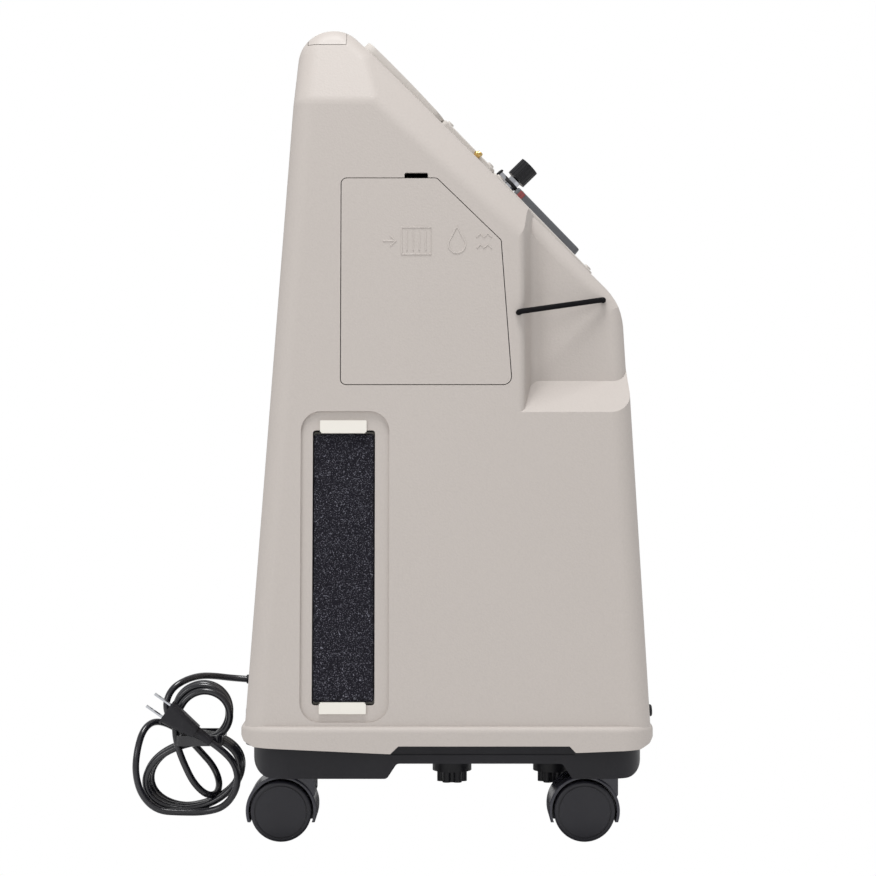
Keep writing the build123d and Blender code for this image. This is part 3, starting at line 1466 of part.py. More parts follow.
def route_radii(points):
    """Bend radii for a routed tube: each takes up just under half of its shorter leg."""
    radii = []
    for before, here, after in zip(points, points[1:], points[2:]):
        turn = (here - before).get_angle(after - here)
        radii.append(0.45 * min((here - before).length, (after - here).length) / tan(radians(turn / 2)))
    return radii


HOSE = 7.0
tank_port = (*TANK_AT, TANK_TOP + 12)
regulator_port = (BULKHEAD_X - 30, 95, 400)
muffler_port = (*MUFFLER_AT, FLOOR + 145)
HOSE_ROUTES = [
    (tank_port, (*TANK_AT, 430), (-70, 95, 450), (-40, 95, 400), regulator_port),
    (muffler_port, (*MUFFLER_AT, 270), (-14, -110, 310), (-24, -70, 330), (-35, -30, 330), (-35, -6, 318)),
]
with BuildPart() as hoses:
    for route in HOSE_ROUTES:
        points = [Vector(*spot) for spot in route]
        with BuildLine() as hose_path:
            FilletPolyline(*points, radius=route_radii(points))
        with BuildSketch(Plane(origin=hose_path.line @ 0, z_dir=hose_path.line % 0)):
            Circle(HOSE / 2)
        sweep()
save(hoses.part, "hoses")


# ---------------------------------------------------------------- power cord
relief_foot = REAR.from_local_coords(Vector(*CORD_SPOT, 0))
RELIEF_END = Vector(relief_foot.X - RELIEF_LENGTH, CORD_EXIT_Y, CORD_EXIT_Z)

with BuildPart() as strain_relief:
    relief_axis = Plane(origin=(relief_foot.X, CORD_EXIT_Y, CORD_EXIT_Z), z_dir=(-1, 0, 0))
    with BuildSketch(relief_axis.offset(-10)):
        Circle(CORD_HOLE - 0.6)
    extrude(amount=13)
    with BuildSketch(relief_axis.offset(0.6)):
        Circle(8.5)
    extrude(amount=3)
    with BuildSketch(relief_axis.offset(3)) as wide_end:
        Circle(6)
    with BuildSketch(relief_axis.offset(RELIEF_LENGTH)) as narrow_end:
        Circle(4)
    loft([wide_end.sketch, narrow_end.sketch])
save(strain_relief.part, "strain_relief")

BUNDLE_Y = (-76.0, -32.0)
CORD_LEAD = [
    RELIEF_END,
    RELIEF_END + Vector(-12, 0, 0),
    RELIEF_END + Vector(-28.3, -9.4, 0.4),
    RELIEF_END + Vector(-37.7, -25.7, 1.0),
    Vector(RELIEF_END.X - 37.7, BUNDLE_Y[1], RELIEF_END.Z + 1.0),
]
with BuildPart() as cord_lead:
    with BuildLine() as lead_path:
        FilletPolyline(*CORD_LEAD, radius=route_radii(CORD_LEAD))
    with BuildSketch(Plane(origin=lead_path.line @ 0, z_dir=lead_path.line % 0)):
        Circle(CORD / 2)
    sweep()
save(cord_lead.part, "cord_lead")

# The loose bundle stands on the floor behind the machine, tied round its waist.
BUNDLE_OUTLINE = [
    (-262, 0),
    (-205, 0),
    (-181, 22),
    (-192, 50),
    (-203, 66),
    (-184, 84),
    (-178, 112),
    (-213, 121),
    (-252, 112),
    (-262, 92),
    (-228, 72),
    (-240, 58),
    (-279, 30),
]
with BuildPart() as cord_bundle:
    with BuildSketch(Plane.XZ.offset(-BUNDLE_Y[1])):
        with BuildLine():
            FilletPolyline(*BUNDLE_OUTLINE, close=True, radius=6)
        make_face()
    extrude(amount=BUNDLE_Y[1] - BUNDLE_Y[0])
    fillet(cord_bundle.faces().filter_by(Axis.Y).edges(), 4)
save(cord_bundle.part, "cord_bundle")

with BuildPart() as cord_tie:
    with BuildSketch(Plane.XY.offset(62)):
        with Locations((-217, sum(BUNDLE_Y) / 2)):
            RectangleRounded(40, BUNDLE_Y[1] - BUNDLE_Y[0] + 4, 5)
    extrude(amount=9)
    add(cord_bundle.part, mode=Mode.SUBTRACT)
save(cord_tie.part, "cord_tie")

PLUG_TILT = 145.0  # degrees, the way the blades point in X and Z
PLUG_FACE = (-244.0, 93.5)  # X and Z of the middle of the plug's blade face
PLUG_LENGTH = 31.0
PLUG_HEIGHT = 18.0
PLUG_DEPTH = 17.0
PLUG_TAIL = 16.0
plug_out = Vector(cos(radians(PLUG_TILT)), 0, sin(radians(PLUG_TILT)))
plug_face = Plane(
    origin=(PLUG_FACE[0], BUNDLE_Y[0] - PLUG_DEPTH / 2, PLUG_FACE[1]), x_dir=(0, 1, 0), z_dir=plug_out
)

with BuildPart() as plug_body:
    with BuildSketch(plug_face.offset(-2)):
        RectangleRounded(PLUG_DEPTH, PLUG_HEIGHT + 2, 4)
    with BuildSketch(plug_face.offset(-PLUG_LENGTH)):
        RectangleRounded(PLUG_DEPTH, PLUG_HEIGHT - 7, 4)
    loft()
    with BuildSketch(plug_face.offset(-2)):
        RectangleRounded(PLUG_DEPTH, PLUG_HEIGHT + 4, 4)
    extrude(amount=2)
    with BuildSketch(plug_face.offset(-PLUG_LENGTH)) as tail_root:
        Circle(5)
    with BuildSketch(plug_face.offset(-PLUG_LENGTH - PLUG_TAIL)) as tail_end:
        Circle(3.8)
    loft([tail_root.sketch, tail_end.sketch])
save(plug_body.part, "plug_body")

with BuildPart() as plug_blades:
    with BuildSketch(plug_face):
        with GridLocations(1, 12.7, 1, 2):
            Rectangle(6.3, 1.5)
    extrude(amount=17)
    with BuildSketch(Plane(origin=plug_face.origin + plug_out * 12, x_dir=(0, 1, 0), z_dir=plug_face.y_dir)):
        Circle(1.6)
    extrude(amount=20, both=True, mode=Mode.SUBTRACT)
save(plug_blades.part, "plug_blades")
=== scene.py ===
"""The looks of an oxygen concentrator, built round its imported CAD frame.

Metres, +Z up, +X towards the controls, -Y the side with the access door. Sizes with names in capitals are in mm
where no comment says otherwise.
"""

from math import cos, pi, radians, sin, tau

import bmesh
import bpy
from mathutils import Matrix, Vector, noise


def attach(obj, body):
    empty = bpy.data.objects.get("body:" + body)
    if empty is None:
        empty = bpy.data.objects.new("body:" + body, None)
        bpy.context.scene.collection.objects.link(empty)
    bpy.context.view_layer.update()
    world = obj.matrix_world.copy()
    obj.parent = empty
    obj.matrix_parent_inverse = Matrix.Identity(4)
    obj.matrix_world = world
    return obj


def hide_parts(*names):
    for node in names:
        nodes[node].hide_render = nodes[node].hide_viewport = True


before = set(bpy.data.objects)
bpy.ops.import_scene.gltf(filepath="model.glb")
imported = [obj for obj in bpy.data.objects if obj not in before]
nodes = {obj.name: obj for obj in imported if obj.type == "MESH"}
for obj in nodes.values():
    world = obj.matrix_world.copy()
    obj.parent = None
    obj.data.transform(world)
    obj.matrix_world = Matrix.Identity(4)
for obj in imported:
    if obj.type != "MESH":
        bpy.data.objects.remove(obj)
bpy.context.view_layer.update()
MM = 0.001
ROOT = "cabinet"  # the body that carries every fixed piece


def mm(*values):
    """A vector of lengths in mm, in metres."""
    return Vector(values) * MM


# ---------------------------------------------------------------- camera and light
CAMERA_PLACE = (-8.9, -1840, 330.1)  # mm
LENS = 83.26
SENSOR_WIDTH = 36
AMBIENT = 0.62  # the world's strength on the machine; the camera itself sees it as plain white
MACHINE_MIDDLE = (0, 0, 0.35)  # metres

camera = bpy.data.objects.new("camera", bpy.data.cameras.new("camera"))
bpy.context.collection.objects.link(camera)
camera.location = mm(*CAMERA_PLACE)
camera.rotation_euler = (pi / 2, 0, 0)
camera.data.lens = LENS
camera.data.sensor_width = SENSOR_WIDTH
bpy.context.scene.camera = camera
bpy.context.scene.view_settings.view_transform = "Standard"

world = bpy.data.worlds.new("studio")
bpy.context.scene.world = world
world.use_nodes = True
background = world.node_tree.nodes["Background"]
background.inputs["Color"].default_value = (1, 1, 1, 1)
rays = world.node_tree.nodes.new("ShaderNodeLightPath")
strength = world.node_tree.nodes.new("ShaderNodeMapRange")
strength.inputs["To Min"].default_value = AMBIENT
strength.inputs["To Max"].default_value = 1.0
world.node_tree.links.new(rays.outputs["Is Camera Ray"], strength.inputs["Value"])
world.node_tree.links.new(strength.outputs["Result"], background.inputs["Strength"])


def lamp(name, place, aim, size, power):
    """A round area lamp at place, in metres and watts, turned towards aim."""
    data = bpy.data.lights.new(name, "AREA")
    data.shape = "DISK"
    data.size = size
    data.energy = power
    obj = bpy.data.objects.new(name, data)
    obj.location = place
    obj.rotation_euler = (Vector(aim) - Vector(place)).to_track_quat("-Z", "Y").to_euler()
    bpy.context.collection.objects.link(obj)


lamp("overhead", (-0.1, -0.65, 2.4), MACHINE_MIDDLE, 0.9, 32)
lamp("left_fill", (-1.4, -2.0, 1.0), MACHINE_MIDDLE, 0.8, 7)


# ---------------------------------------------------------------- materials
class Nodes:
    """A new material's node tree, with short ways to add and link nodes."""

    def __init__(self, name):
        self.material = bpy.data.materials.new(name)
        self.material.use_nodes = True
        self.tree = self.material.node_tree
        self.shader = self.tree.nodes["Principled BSDF"]
        self.place = self.add("ShaderNodeTexCoord").outputs["Object"]

    def add(self, kind, **settings):
        node = self.tree.nodes.new(kind)
        for key, value in settings.items():
            if hasattr(node, key):
                setattr(node, key, value)
            else:
                node.inputs[key.replace("_", " ").title()].default_value = value
        return node

    def link(self, source, target):
        self.tree.links.new(source, target)

    def noise(self, scale, detail=2.0, stretch=None):
        texture = self.add("ShaderNodeTexNoise", Scale=scale, Detail=detail)
        place = self.place
        if stretch:
            mapping = self.add("ShaderNodeMapping")
            mapping.inputs["Scale"].default_value = stretch
            self.link(place, mapping.inputs["Vector"])
            place = mapping.outputs["Vector"]
        self.link(place, texture.inputs["Vector"])
        return texture.outputs["Fac"]

    def cells(self, scale, feature="F1"):
        texture = self.add("ShaderNodeTexVoronoi", feature=feature)
        texture.inputs["Scale"].default_value = scale
        self.link(self.place, texture.inputs["Vector"])
        return texture.outputs["Distance"]

    def spread(self, source, low, high, start=0.3, stop=0.7):
        """source, mapped from start...stop to low...high."""
        change = self.add("ShaderNodeMapRange")
        for key, value in zip(("From Min", "From Max", "To Min", "To Max"), (start, stop, low, high)):
            change.inputs[key].default_value = value
        self.link(source, change.inputs["Value"])
        return change.outputs["Result"]

    def blend(self, factor, dark, light):
        mix = self.add("ShaderNodeMix", data_type="RGBA")
        self.link(factor, mix.inputs["Factor"])
        for key, value in (("A", dark), ("B", light)):
            socket = [s for s in mix.inputs if s.name == key and s.type == "RGBA"][0]
            if isinstance(value, tuple):
                socket.default_value = (*value, 1)
            else:
                self.link(value, socket)
        return [s for s in mix.outputs if s.type == "RGBA"][0]

    def bump(self, height, distance, strength=1.0, after=None):
        node = self.add("ShaderNodeBump")
        node.inputs["Distance"].default_value = distance
        node.inputs["Strength"].default_value = strength
        self.link(height, node.inputs["Height"])
        if after:
            self.link(after, node.inputs["Normal"])
        return node.outputs["Normal"]


def shade(colour, factor):
    """colour, lighter or darker by factor."""
    return tuple(min(1.0, c * factor) for c in colour)


def finish(
    name,
    colour,
    rough,
    metallic=0.0,
    mottle=0.04,
    mottle_scale=14,
    grain=0.0,
    grain_size=1.4,
    stretch=None,
    coat=0.0,
    clear=0.0,
    ior=1.5,
    specular=0.5,
):
    """A moulded, cast or turned surface, slightly uneven in colour and gloss.

    grain and grain_size are the depth and the size of its grain, in mm.
    """
    n = Nodes(name)
    broad = n.noise(mottle_scale, 4, stretch)
    base = n.blend(n.spread(broad, 0, 1), shade(colour, 1 - mottle), shade(colour, 1 + mottle))
    n.link(base, n.shader.inputs["Base Color"])
    gloss = n.noise(mottle_scale * 3, 3, stretch)
    n.link(n.spread(gloss, rough * 0.88, rough * 1.12), n.shader.inputs["Roughness"])
    n.shader.inputs["Metallic"].default_value = metallic
    n.shader.inputs["Coat Weight"].default_value = coat
    n.shader.inputs["Coat Roughness"].default_value = 0.12
    n.shader.inputs["Transmission Weight"].default_value = clear
    n.shader.inputs["IOR"].default_value = ior
    n.shader.inputs["Specular IOR Level"].default_value = specular
    if grain:
        n.link(n.bump(n.noise(1 / (grain_size * MM), 2, stretch), grain * MM), n.shader.inputs["Normal"])
    return n.material


def pebbled(name, colour, rough, size=1.5, depth=0.12, mottle=0.035):
    """Moulded shell plastic with a fine leather-like pebble, its grooves a little darker as painted shade."""
    n = Nodes(name)
    pebble = n.cells(1 / (size * MM), "SMOOTH_F1")
    fine = n.noise(1 / (size * 0.45 * MM), 2)
    broad = n.noise(6, 3)
    base = n.blend(n.spread(broad, 0, 1), shade(colour, 1 - mottle * 0.4), shade(colour, 1 + mottle * 0.4))
    # painted shade and highlight: darker in the grooves between pebbles, lighter on the pebble tops, following
    # the bump
    pebble_groove_shade = n.blend(n.spread(pebble, 0, 1, 0.1, 0.7), shade(colour, 1 + mottle), shade(colour, 1 - mottle))
    both = n.add("ShaderNodeMix", data_type="RGBA", blend_type="MIX")
    both.inputs["Factor"].default_value = 0.5
    colours = [s for s in both.inputs if s.type == "RGBA"]
    n.link(base, colours[0])
    n.link(pebble_groove_shade, colours[1])
    n.link([s for s in both.outputs if s.type == "RGBA"][0], n.shader.inputs["Base Color"])
    n.link(n.spread(fine, rough * 0.9, rough * 1.1), n.shader.inputs["Roughness"])
    first = n.bump(pebble, -depth * MM, 0.8)
    n.link(n.bump(fine, depth * 0.35 * MM, 0.6, first), n.shader.inputs["Normal"])
    n.shader.inputs["Specular IOR Level"].default_value = 0.35
    return n.material


def open_foam(name):
    """Black reticulated foam: dark cells, with painted highlights on many small cell walls where they would
    catch the light.
    """
    n = Nodes(name)
    cells = n.cells(1 / (1.4 * MM), "DISTANCE_TO_EDGE")
    walls = n.spread(cells, 1, 0, 0.0, 0.16)
    painted_glint = n.spread(n.noise(1 / (1.0 * MM), 2), 0, 1, 0.50, 0.70)
    both = n.add("ShaderNodeMath", operation="MULTIPLY")
    n.link(walls, both.inputs[0])
    n.link(painted_glint, both.inputs[1])
    # painted highlight: pale specks in the base colour on the cell walls, in place of glints
    n.link(n.blend(both.outputs[0], (0.008, 0.007, 0.014), (0.42, 0.42, 0.50)), n.shader.inputs["Base Color"])
    n.shader.inputs["Roughness"].default_value = 0.7
    n.shader.inputs["Specular IOR Level"].default_value = 0.2
    n.link(n.bump(walls, 0.8 * MM), n.shader.inputs["Normal"])
    return n.material


def braid(name, colour):
    """Woven elastic sleeve: two crossing sets of fine bands, with painted highlight on them and painted shade
    between them.
    """
    n = Nodes(name)
    heights = []
    for lean in (0.9, -0.9):
        mapping = n.add("ShaderNodeMapping")
        mapping.inputs["Rotation"].default_value = (0, lean, 0)
        n.link(n.place, mapping.inputs["Vector"])
        wave = n.add("ShaderNodeTexWave", wave_type="BANDS", bands_direction="X")
        wave.inputs["Scale"].default_value = 260
        n.link(mapping.outputs["Vector"], wave.inputs["Vector"])
        heights.append(wave.outputs["Fac"])
    both = n.add("ShaderNodeMath", operation="MAXIMUM")
    n.link(heights[0], both.inputs[0])
    n.link(heights[1], both.inputs[1])
    # painted highlight and shade: the raised bands lighter and the gaps between them darker, from the same
    # heights as the bump
    n.link(n.blend(both.outputs[0], shade(colour, 0.6), shade(colour, 1.6)), n.shader.inputs["Base Color"])
    n.link(n.bump(both.outputs[0], 0.4 * MM), n.shader.inputs["Normal"])
    n.shader.inputs["Roughness"].default_value = 0.8
    n.shader.inputs["Specular IOR Level"].default_value = 0.15
    return n.material


def circuit(name):
    """Solder mask with a tracery of copper under it."""
    n = Nodes(name)
    bricks = n.add("ShaderNodeTexBrick")
    bricks.inputs["Scale"].default_value = 120
    bricks.inputs["Mortar Size"].default_value = 0.03
    n.link(n.place, bricks.inputs["Vector"])
    green = n.blend(bricks.outputs["Fac"], (0.012, 0.11, 0.035), (0.05, 0.27, 0.09))
    n.link(green, n.shader.inputs["Base Color"])
    n.shader.inputs["Roughness"].default_value = 0.35
    return n.material


def white_paper(name):
    """A pale studio floor: matt to the light, and clear white where the camera sees it."""
    n = Nodes(name)
    n.link(n.blend(n.noise(2, 2), (0.90, 0.90, 0.90), (0.94, 0.94, 0.94)), n.shader.inputs["Base Color"])
    n.shader.inputs["Roughness"].default_value = 0.9
    glow = n.add("ShaderNodeEmission")
    glow.inputs["Color"].default_value = (1, 1, 1, 1)
    seen = n.add("ShaderNodeLightPath").outputs["Is Camera Ray"]
    both = n.add("ShaderNodeMixShader")
    n.link(seen, both.inputs[0])
    n.link(n.shader.outputs[0], both.inputs[1])
    n.link(glow.outputs[0], both.inputs[2])
    n.link(both.outputs[0], n.tree.nodes["Material Output"].inputs["Surface"])
    return n.material


SHELL = (0.505, 0.462, 0.432)
shell = pebbled("shell_plastic", SHELL, 0.55)
shell_smooth = finish("shell_smooth", SHELL, 0.5, mottle=0.02, grain=0.02, grain_size=0.8)
panel = finish("panel_plastic", (0.60, 0.565, 0.53), 0.42, mottle=0.02, grain=0.03, grain_size=0.7)
pan_plastic = finish(
    "pan_plastic", (0.009, 0.0085, 0.012), 0.42,
    mottle=0.2, grain=0.05, grain_size=1.1, specular=0.32,
)
caster_plastic = finish(
    "caster_nylon", (0.034, 0.034, 0.046), 0.27,
    mottle=0.12, grain=0.02, grain_size=0.8,
)
wheel_plastic = finish(
    "wheel_nylon", (0.015, 0.0145, 0.020), 0.36,
    mottle=0.15, grain=0.03, grain_size=0.8, specular=0.4,
)
ivory = finish("ivory_plastic", (0.80, 0.77, 0.71), 0.4, mottle=0.02, grain=0.02, grain_size=0.9)
foam = open_foam("filter_foam")
pvc = finish(
    "cord_pvc", (0.009, 0.009, 0.013), 0.24,
    mottle=0.2, mottle_scale=60, grain=0.02, grain_size=2.5, coat=0.3,
)
rubber = finish(
    "plug_pvc", (0.009, 0.0085, 0.012), 0.42,
    mottle=0.15, mottle_scale=60, grain=0.04, grain_size=0.6, specular=0.35,
)
elastic = braid("strap_braid", (0.0035, 0.003, 0.004))
brass = finish("brass", (0.66, 0.45, 0.16), 0.25, metallic=1, mottle=0.08, mottle_scale=200, grain=0.01)
chrome = finish("chrome", (0.50, 0.51, 0.54), 0.16, metallic=1, mottle=0.03, mottle_scale=150)
zinc = finish("zinc_plate", (0.55, 0.56, 0.58), 0.36, metallic=1, mottle=0.1, mottle_scale=90, grain=0.02)
cast_alu = finish(
    "cast_aluminium", (0.60, 0.61, 0.63), 0.45,
    metallic=1, mottle=0.08, mottle_scale=60, grain=0.15,
)
drawn_alu = finish(
    "drawn_aluminium", (0.66, 0.67, 0.69), 0.3,
    metallic=1, mottle=0.06, mottle_scale=30, stretch=(8, 8, 0.5),
)
phenolic = finish(
    "phenolic", (0.008, 0.008, 0.010), 0.35,
    mottle=0.15, mottle_scale=120, grain=0.03, grain_size=0.5, specular=0.35,
)
bezel_plastic = finish("bezel_plastic", (0.10, 0.105, 0.115), 0.4, mottle=0.08, grain=0.04, grain_size=0.5)
acrylic = finish("acrylic", (0.93, 0.97, 0.97), 0.05, mottle=0.01, clear=1.0, ior=1.49)
white_plastic = finish("white_plastic", (0.76, 0.76, 0.74), 0.4, mottle=0.03, grain=0.03, grain_size=0.8)
enamel = finish(
    "black_enamel", (0.03, 0.031, 0.036), 0.35,
    mottle=0.12, mottle_scale=40, grain=0.06, coat=0.3,
)
silicone = finish("silicone", (0.62, 0.61, 0.55), 0.35, mottle=0.05, mottle_scale=80, clear=0.25)
amber = finish("amber_lens", (0.75, 0.42, 0.05), 0.15, mottle=0.05, mottle_scale=300, clear=0.3)
# near black: the valve collar and port clip are partly real dark rings and partly painted shadow in the gaps
# round them
gasket_and_shadow = finish("gasket_shadow", (0.006, 0.006, 0.007), 0.8, mottle=0.2, mottle_scale=80, grain=0.02)
steel = finish("polished_steel", (0.6, 0.6, 0.61), 0.15, metallic=1, mottle=0.04, mottle_scale=300)
board = circuit("circuit_board")

# each finish and the CAD nodes that have it
CAD_FINISHES = {
    shell: "cabinet access_door",
    shell_smooth: "carry_handle",
    panel: "front_cover outlet_panel control_panel panel_screws",
    pan_plastic: "base_pan shipping_knobs cabinet_screws",
    caster_plastic: "caster_hood_rear_right caster_hood_front_right"
    " caster_hood_rear_left caster_hood_front_left",
    wheel_plastic: "caster_wheels_rear_right caster_wheels_front_right"
    " caster_wheels_rear_left caster_wheels_front_left",
    ivory: "filter_frame_right filter_frame_left",
    foam: "filter_foam_right filter_foam_left",
    pvc: "cord_lead cord_bundle cord_tie",
    rubber: "plug_body strain_relief",
    elastic: "bottle_strap",
    brass: "oxygen_outlet",
    chrome: "flow_valve plug_blades",
    phenolic: "flow_knob power_rocker switch_frame",
    bezel_plastic: "instrument_bezel hour_meter fan_shroud fan_rotor breaker_body solenoid_coils",
    acrylic: "flowmeter_block",
    steel: "flowmeter_float",
    amber: "indicator_lenses",
    zinc: "isolator_springs internal_chassis",
    drawn_alu: "sieve_beds product_tank run_capacitor",
    cast_alu: "compressor_heads heat_exchanger valve_manifold",
    enamel: "compressor_body",
    white_plastic: "filter_compartment inlet_filter humidifier_adapter breaker_button exhaust_muffler"
    " pressure_regulator",
    board: "circuit_board",
    silicone: "hoses",
}
for finish_material, names in CAD_FINISHES.items():
    for name in names.split():
        nodes[name].data.materials.clear()
        nodes[name].data.materials.append(finish_material)


# ---------------------------------------------------------------- making pieces
def add_mesh(name, build, material, body=ROOT, smooth=True):
    """A new piece whose mesh build(bm) makes in place, in the row frame."""
    bm = bmesh.new()
    build(bm)
    bmesh.ops.recalc_face_normals(bm, faces=bm.faces)
    mesh = bpy.data.meshes.new(name)
    bm.to_mesh(mesh)
    bm.free()
    mesh.materials.append(material)
    for polygon in mesh.polygons:
        polygon.use_smooth = smooth
    obj = bpy.data.objects.new(name, mesh)
    bpy.context.collection.objects.link(obj)
    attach(obj, body)
    return obj


def nurbs(name, points, thickness, material):
    """A round tube along one smooth spline with these control points, on the fixed body."""
    curve = bpy.data.curves.new(name, "CURVE")
    curve.dimensions = "3D"
    curve.bevel_depth = thickness / 2
    curve.bevel_resolution = 5
    curve.use_fill_caps = True
    curve.resolution_u = 8
    spline = curve.splines.new("NURBS")
    spline.points.add(len(points) - 1)
    for point, place in zip(spline.points, points):
        point.co = (*place, 1)
    spline.order_u = 3
    spline.use_endpoint_u = True
    curve.materials.append(material)
    obj = bpy.data.objects.new(name, curve)
    bpy.context.collection.objects.link(obj)
    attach(obj, ROOT)
    return obj


# ---------------------------------------------------------------- foam pads
PAD_VOXEL = 1.6
PAD_SINK = 0.25  # how far the foam's face sinks below the CAD pad, and how far it goes up and down
PAD_CELLS = 2.4
PAD_WAVES = 9


def foam_pad(side):
    """The pad of one side filter: the CAD pad's form with soft edges and an uneven, open face."""
    source = nodes[f"filter_foam_{side}"]
    mesh = source.data.copy()
    mesh.materials.clear()
    pad = bpy.data.objects.new(f"foam_pad_{side}", mesh)
    bpy.context.collection.objects.link(pad)
    remesh = pad.modifiers.new("remesh", "REMESH")
    remesh.mode = "VOXEL"
    remesh.voxel_size = PAD_VOXEL * MM
    round_edges = pad.modifiers.new("round", "SMOOTH")
    round_edges.factor = 0.5
    round_edges.iterations = 4
    shaped = bpy.data.meshes.new_from_object(pad.evaluated_get(bpy.context.evaluated_depsgraph_get()))
    pad.modifiers.clear()
    for vertex in shaped.vertices:
        rough = noise.noise(vertex.co / (PAD_CELLS * MM)) + 0.6 * noise.noise(vertex.co / (PAD_WAVES * MM))
        vertex.co -= vertex.normal * PAD_SINK * (1 + rough) * MM
    for polygon in shaped.polygons:
        polygon.use_smooth = True
    pad.data = shaped
    shaped.materials.clear()
    shaped.materials.append(foam)
    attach(pad, f"filter_{side}")
    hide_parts(f"filter_foam_{side}")


for side in ("right", "left"):
    foam_pad(side)


# ---------------------------------------------------------------- small parts on the slope and the door
def facing(place, out, along):
    """A matrix whose x runs along, whose z points out, at place."""
    z = Vector(out).normalized()
    x = (Vector(along) - z * Vector(along).dot(z)).normalized()
    matrix = Matrix((x, z.cross(x), z)).transposed().to_4x4()
    matrix.translation = place
    return matrix


def turned(bm, matrix, profile, steps=32):
    """A closed turned shape: profile is radius and height in mm, from the foot to the top."""
    rounds = [(cos(tau * k / steps), sin(tau * k / steps)) for k in range(steps)]
    rings = []
    for radius, height in profile:
        rings.append([bm.verts.new(matrix @ mm(radius * x, radius * y, height)) for x, y in rounds])
    for low_ring, high_ring in zip(rings, rings[1:]):
        for k in range(steps):
            bm.faces.new((low_ring[k], low_ring[(k + 1) % steps], high_ring[(k + 1) % steps], high_ring[k]))
    bm.faces.new(list(reversed(rings[0])))
    bm.faces.new(rings[-1])


# the outline across a raised strip, as parts of its width and height
STRIP_OUTLINE = ((-0.5, -0.4), (-0.5, 0.6), (-0.3, 1.0), (0.3, 1.0), (0.5, 0.6), (0.5, -0.4))


def raised_strip(bm, matrix, points, width, height):
    """A low rounded-over bar along points (mm, in the matrix's plane)."""
    spots = [Vector(p) for p in points]
    rings = []
    for k, spot in enumerate(spots):
        before = spots[max(0, k - 1)]
        after = spots[min(len(spots) - 1, k + 1)]
        way = (after - before).normalized()
        across = Vector((-way.y, way.x))
        ring = []
        for part, level in STRIP_OUTLINE:
            at = spot + across * width * part
            ring.append(bm.verts.new(matrix @ mm(at.x, at.y, height * level)))
        rings.append(ring)
    sides = len(STRIP_OUTLINE)
    for one, two in zip(rings, rings[1:]):
        for k in range(sides):
            bm.faces.new((one[k], one[(k + 1) % sides], two[(k + 1) % sides], two[k]))
    bm.faces.new(rings[0])
    bm.faces.new(list(reversed(rings[-1])))


SIDE_DRAFT = radians(4.5)
SIDE_OUT = (0, -cos(SIDE_DRAFT), sin(SIDE_DRAFT))
SIDE_FOOT = (-228, 100)  # y and z of one point on the door's wall
SLOPE_TILT = radians(45.8)
SLOPE_ALONG = (cos(SLOPE_TILT), 0, -sin(SLOPE_TILT))
SLOPE_OUT = (sin(SLOPE_TILT), 0, cos(SLOPE_TILT))
SLOPE_TOP = Vector((-67.8, 0, 659.3))
SHELL_TILT = radians(45.2)
SHELL_OUT = (sin(SHELL_TILT), 0, cos(SHELL_TILT))


def on_side(x, z):
    """The place on the door's wall at x and z, in mm."""
    foot_y, foot_z = SIDE_FOOT
    return mm(x, foot_y + (z - foot_z) * sin(SIDE_DRAFT) / cos(SIDE_DRAFT), z)


def on_slope(u, y, height):
    """The place at distance u down the panels' plane, in mm."""
    return (SLOPE_TOP + Vector(SLOPE_ALONG) * u + Vector((0, y, 0)) + Vector(SLOPE_OUT) * height) * MM


SIGN_PLACE = (-11.5, 490)
SIGN_HEIGHT = 0.45
THIN_LINE, LINE, THICK_LINE = 1.1, 1.2, 1.3
GRILLE = [(-27, -11), (-27, 11), (-3, 11), (-3, -11), (-27, -11)]
GRILLE_BARS = (-22.5, -17.5, -12.5, -7.5)
BAR_REACH = 8
ARROW_SHAFT = [(-42, 0), (-32, 0)]
ARROW_HEAD = [(-36, 4), (-31.5, 0), (-36, -4)]
DROP_X = 18
DROP_TIP = (0, 12)
DROP_RADIUS = 7
DROP_MIDDLE = -3
DROP_ANGLES = [radians(110 - 22 * k) for k in range(11)]
WAVES_X = (34, 37, 40, 43, 46)
WAVE_FEET = (-6, 3)
WAVE_RISE = 3


def door_sign(bm):
    """A moulded sign in place of words: a filter grille with an arrow into it, a water drop and waves."""
    matrix = facing(on_side(*SIGN_PLACE), SIDE_OUT, (1, 0, 0))
    raised_strip(bm, matrix, GRILLE, LINE, SIGN_HEIGHT)
    for x in GRILLE_BARS:
        raised_strip(bm, matrix, [(x, -BAR_REACH), (x, BAR_REACH)], THIN_LINE, SIGN_HEIGHT)
    raised_strip(bm, matrix, ARROW_SHAFT, THICK_LINE, SIGN_HEIGHT)
    raised_strip(bm, matrix, ARROW_HEAD, THICK_LINE, SIGN_HEIGHT)
    belly = [(DROP_RADIUS * sin(t), DROP_MIDDLE - DROP_RADIUS * cos(t)) for t in DROP_ANGLES]
    drop = [DROP_TIP] + belly + [DROP_TIP]
    raised_strip(bm, matrix, [(DROP_X + x, y) for x, y in drop], LINE, SIGN_HEIGHT)
    for foot in WAVE_FEET:
        wave = [(x, foot + WAVE_RISE * (k % 2)) for k, x in enumerate(WAVES_X)]
        raised_strip(bm, matrix, wave, THIN_LINE, SIGN_HEIGHT)


add_mesh("door_sign", door_sign, shell_smooth, "access_door", smooth=False)

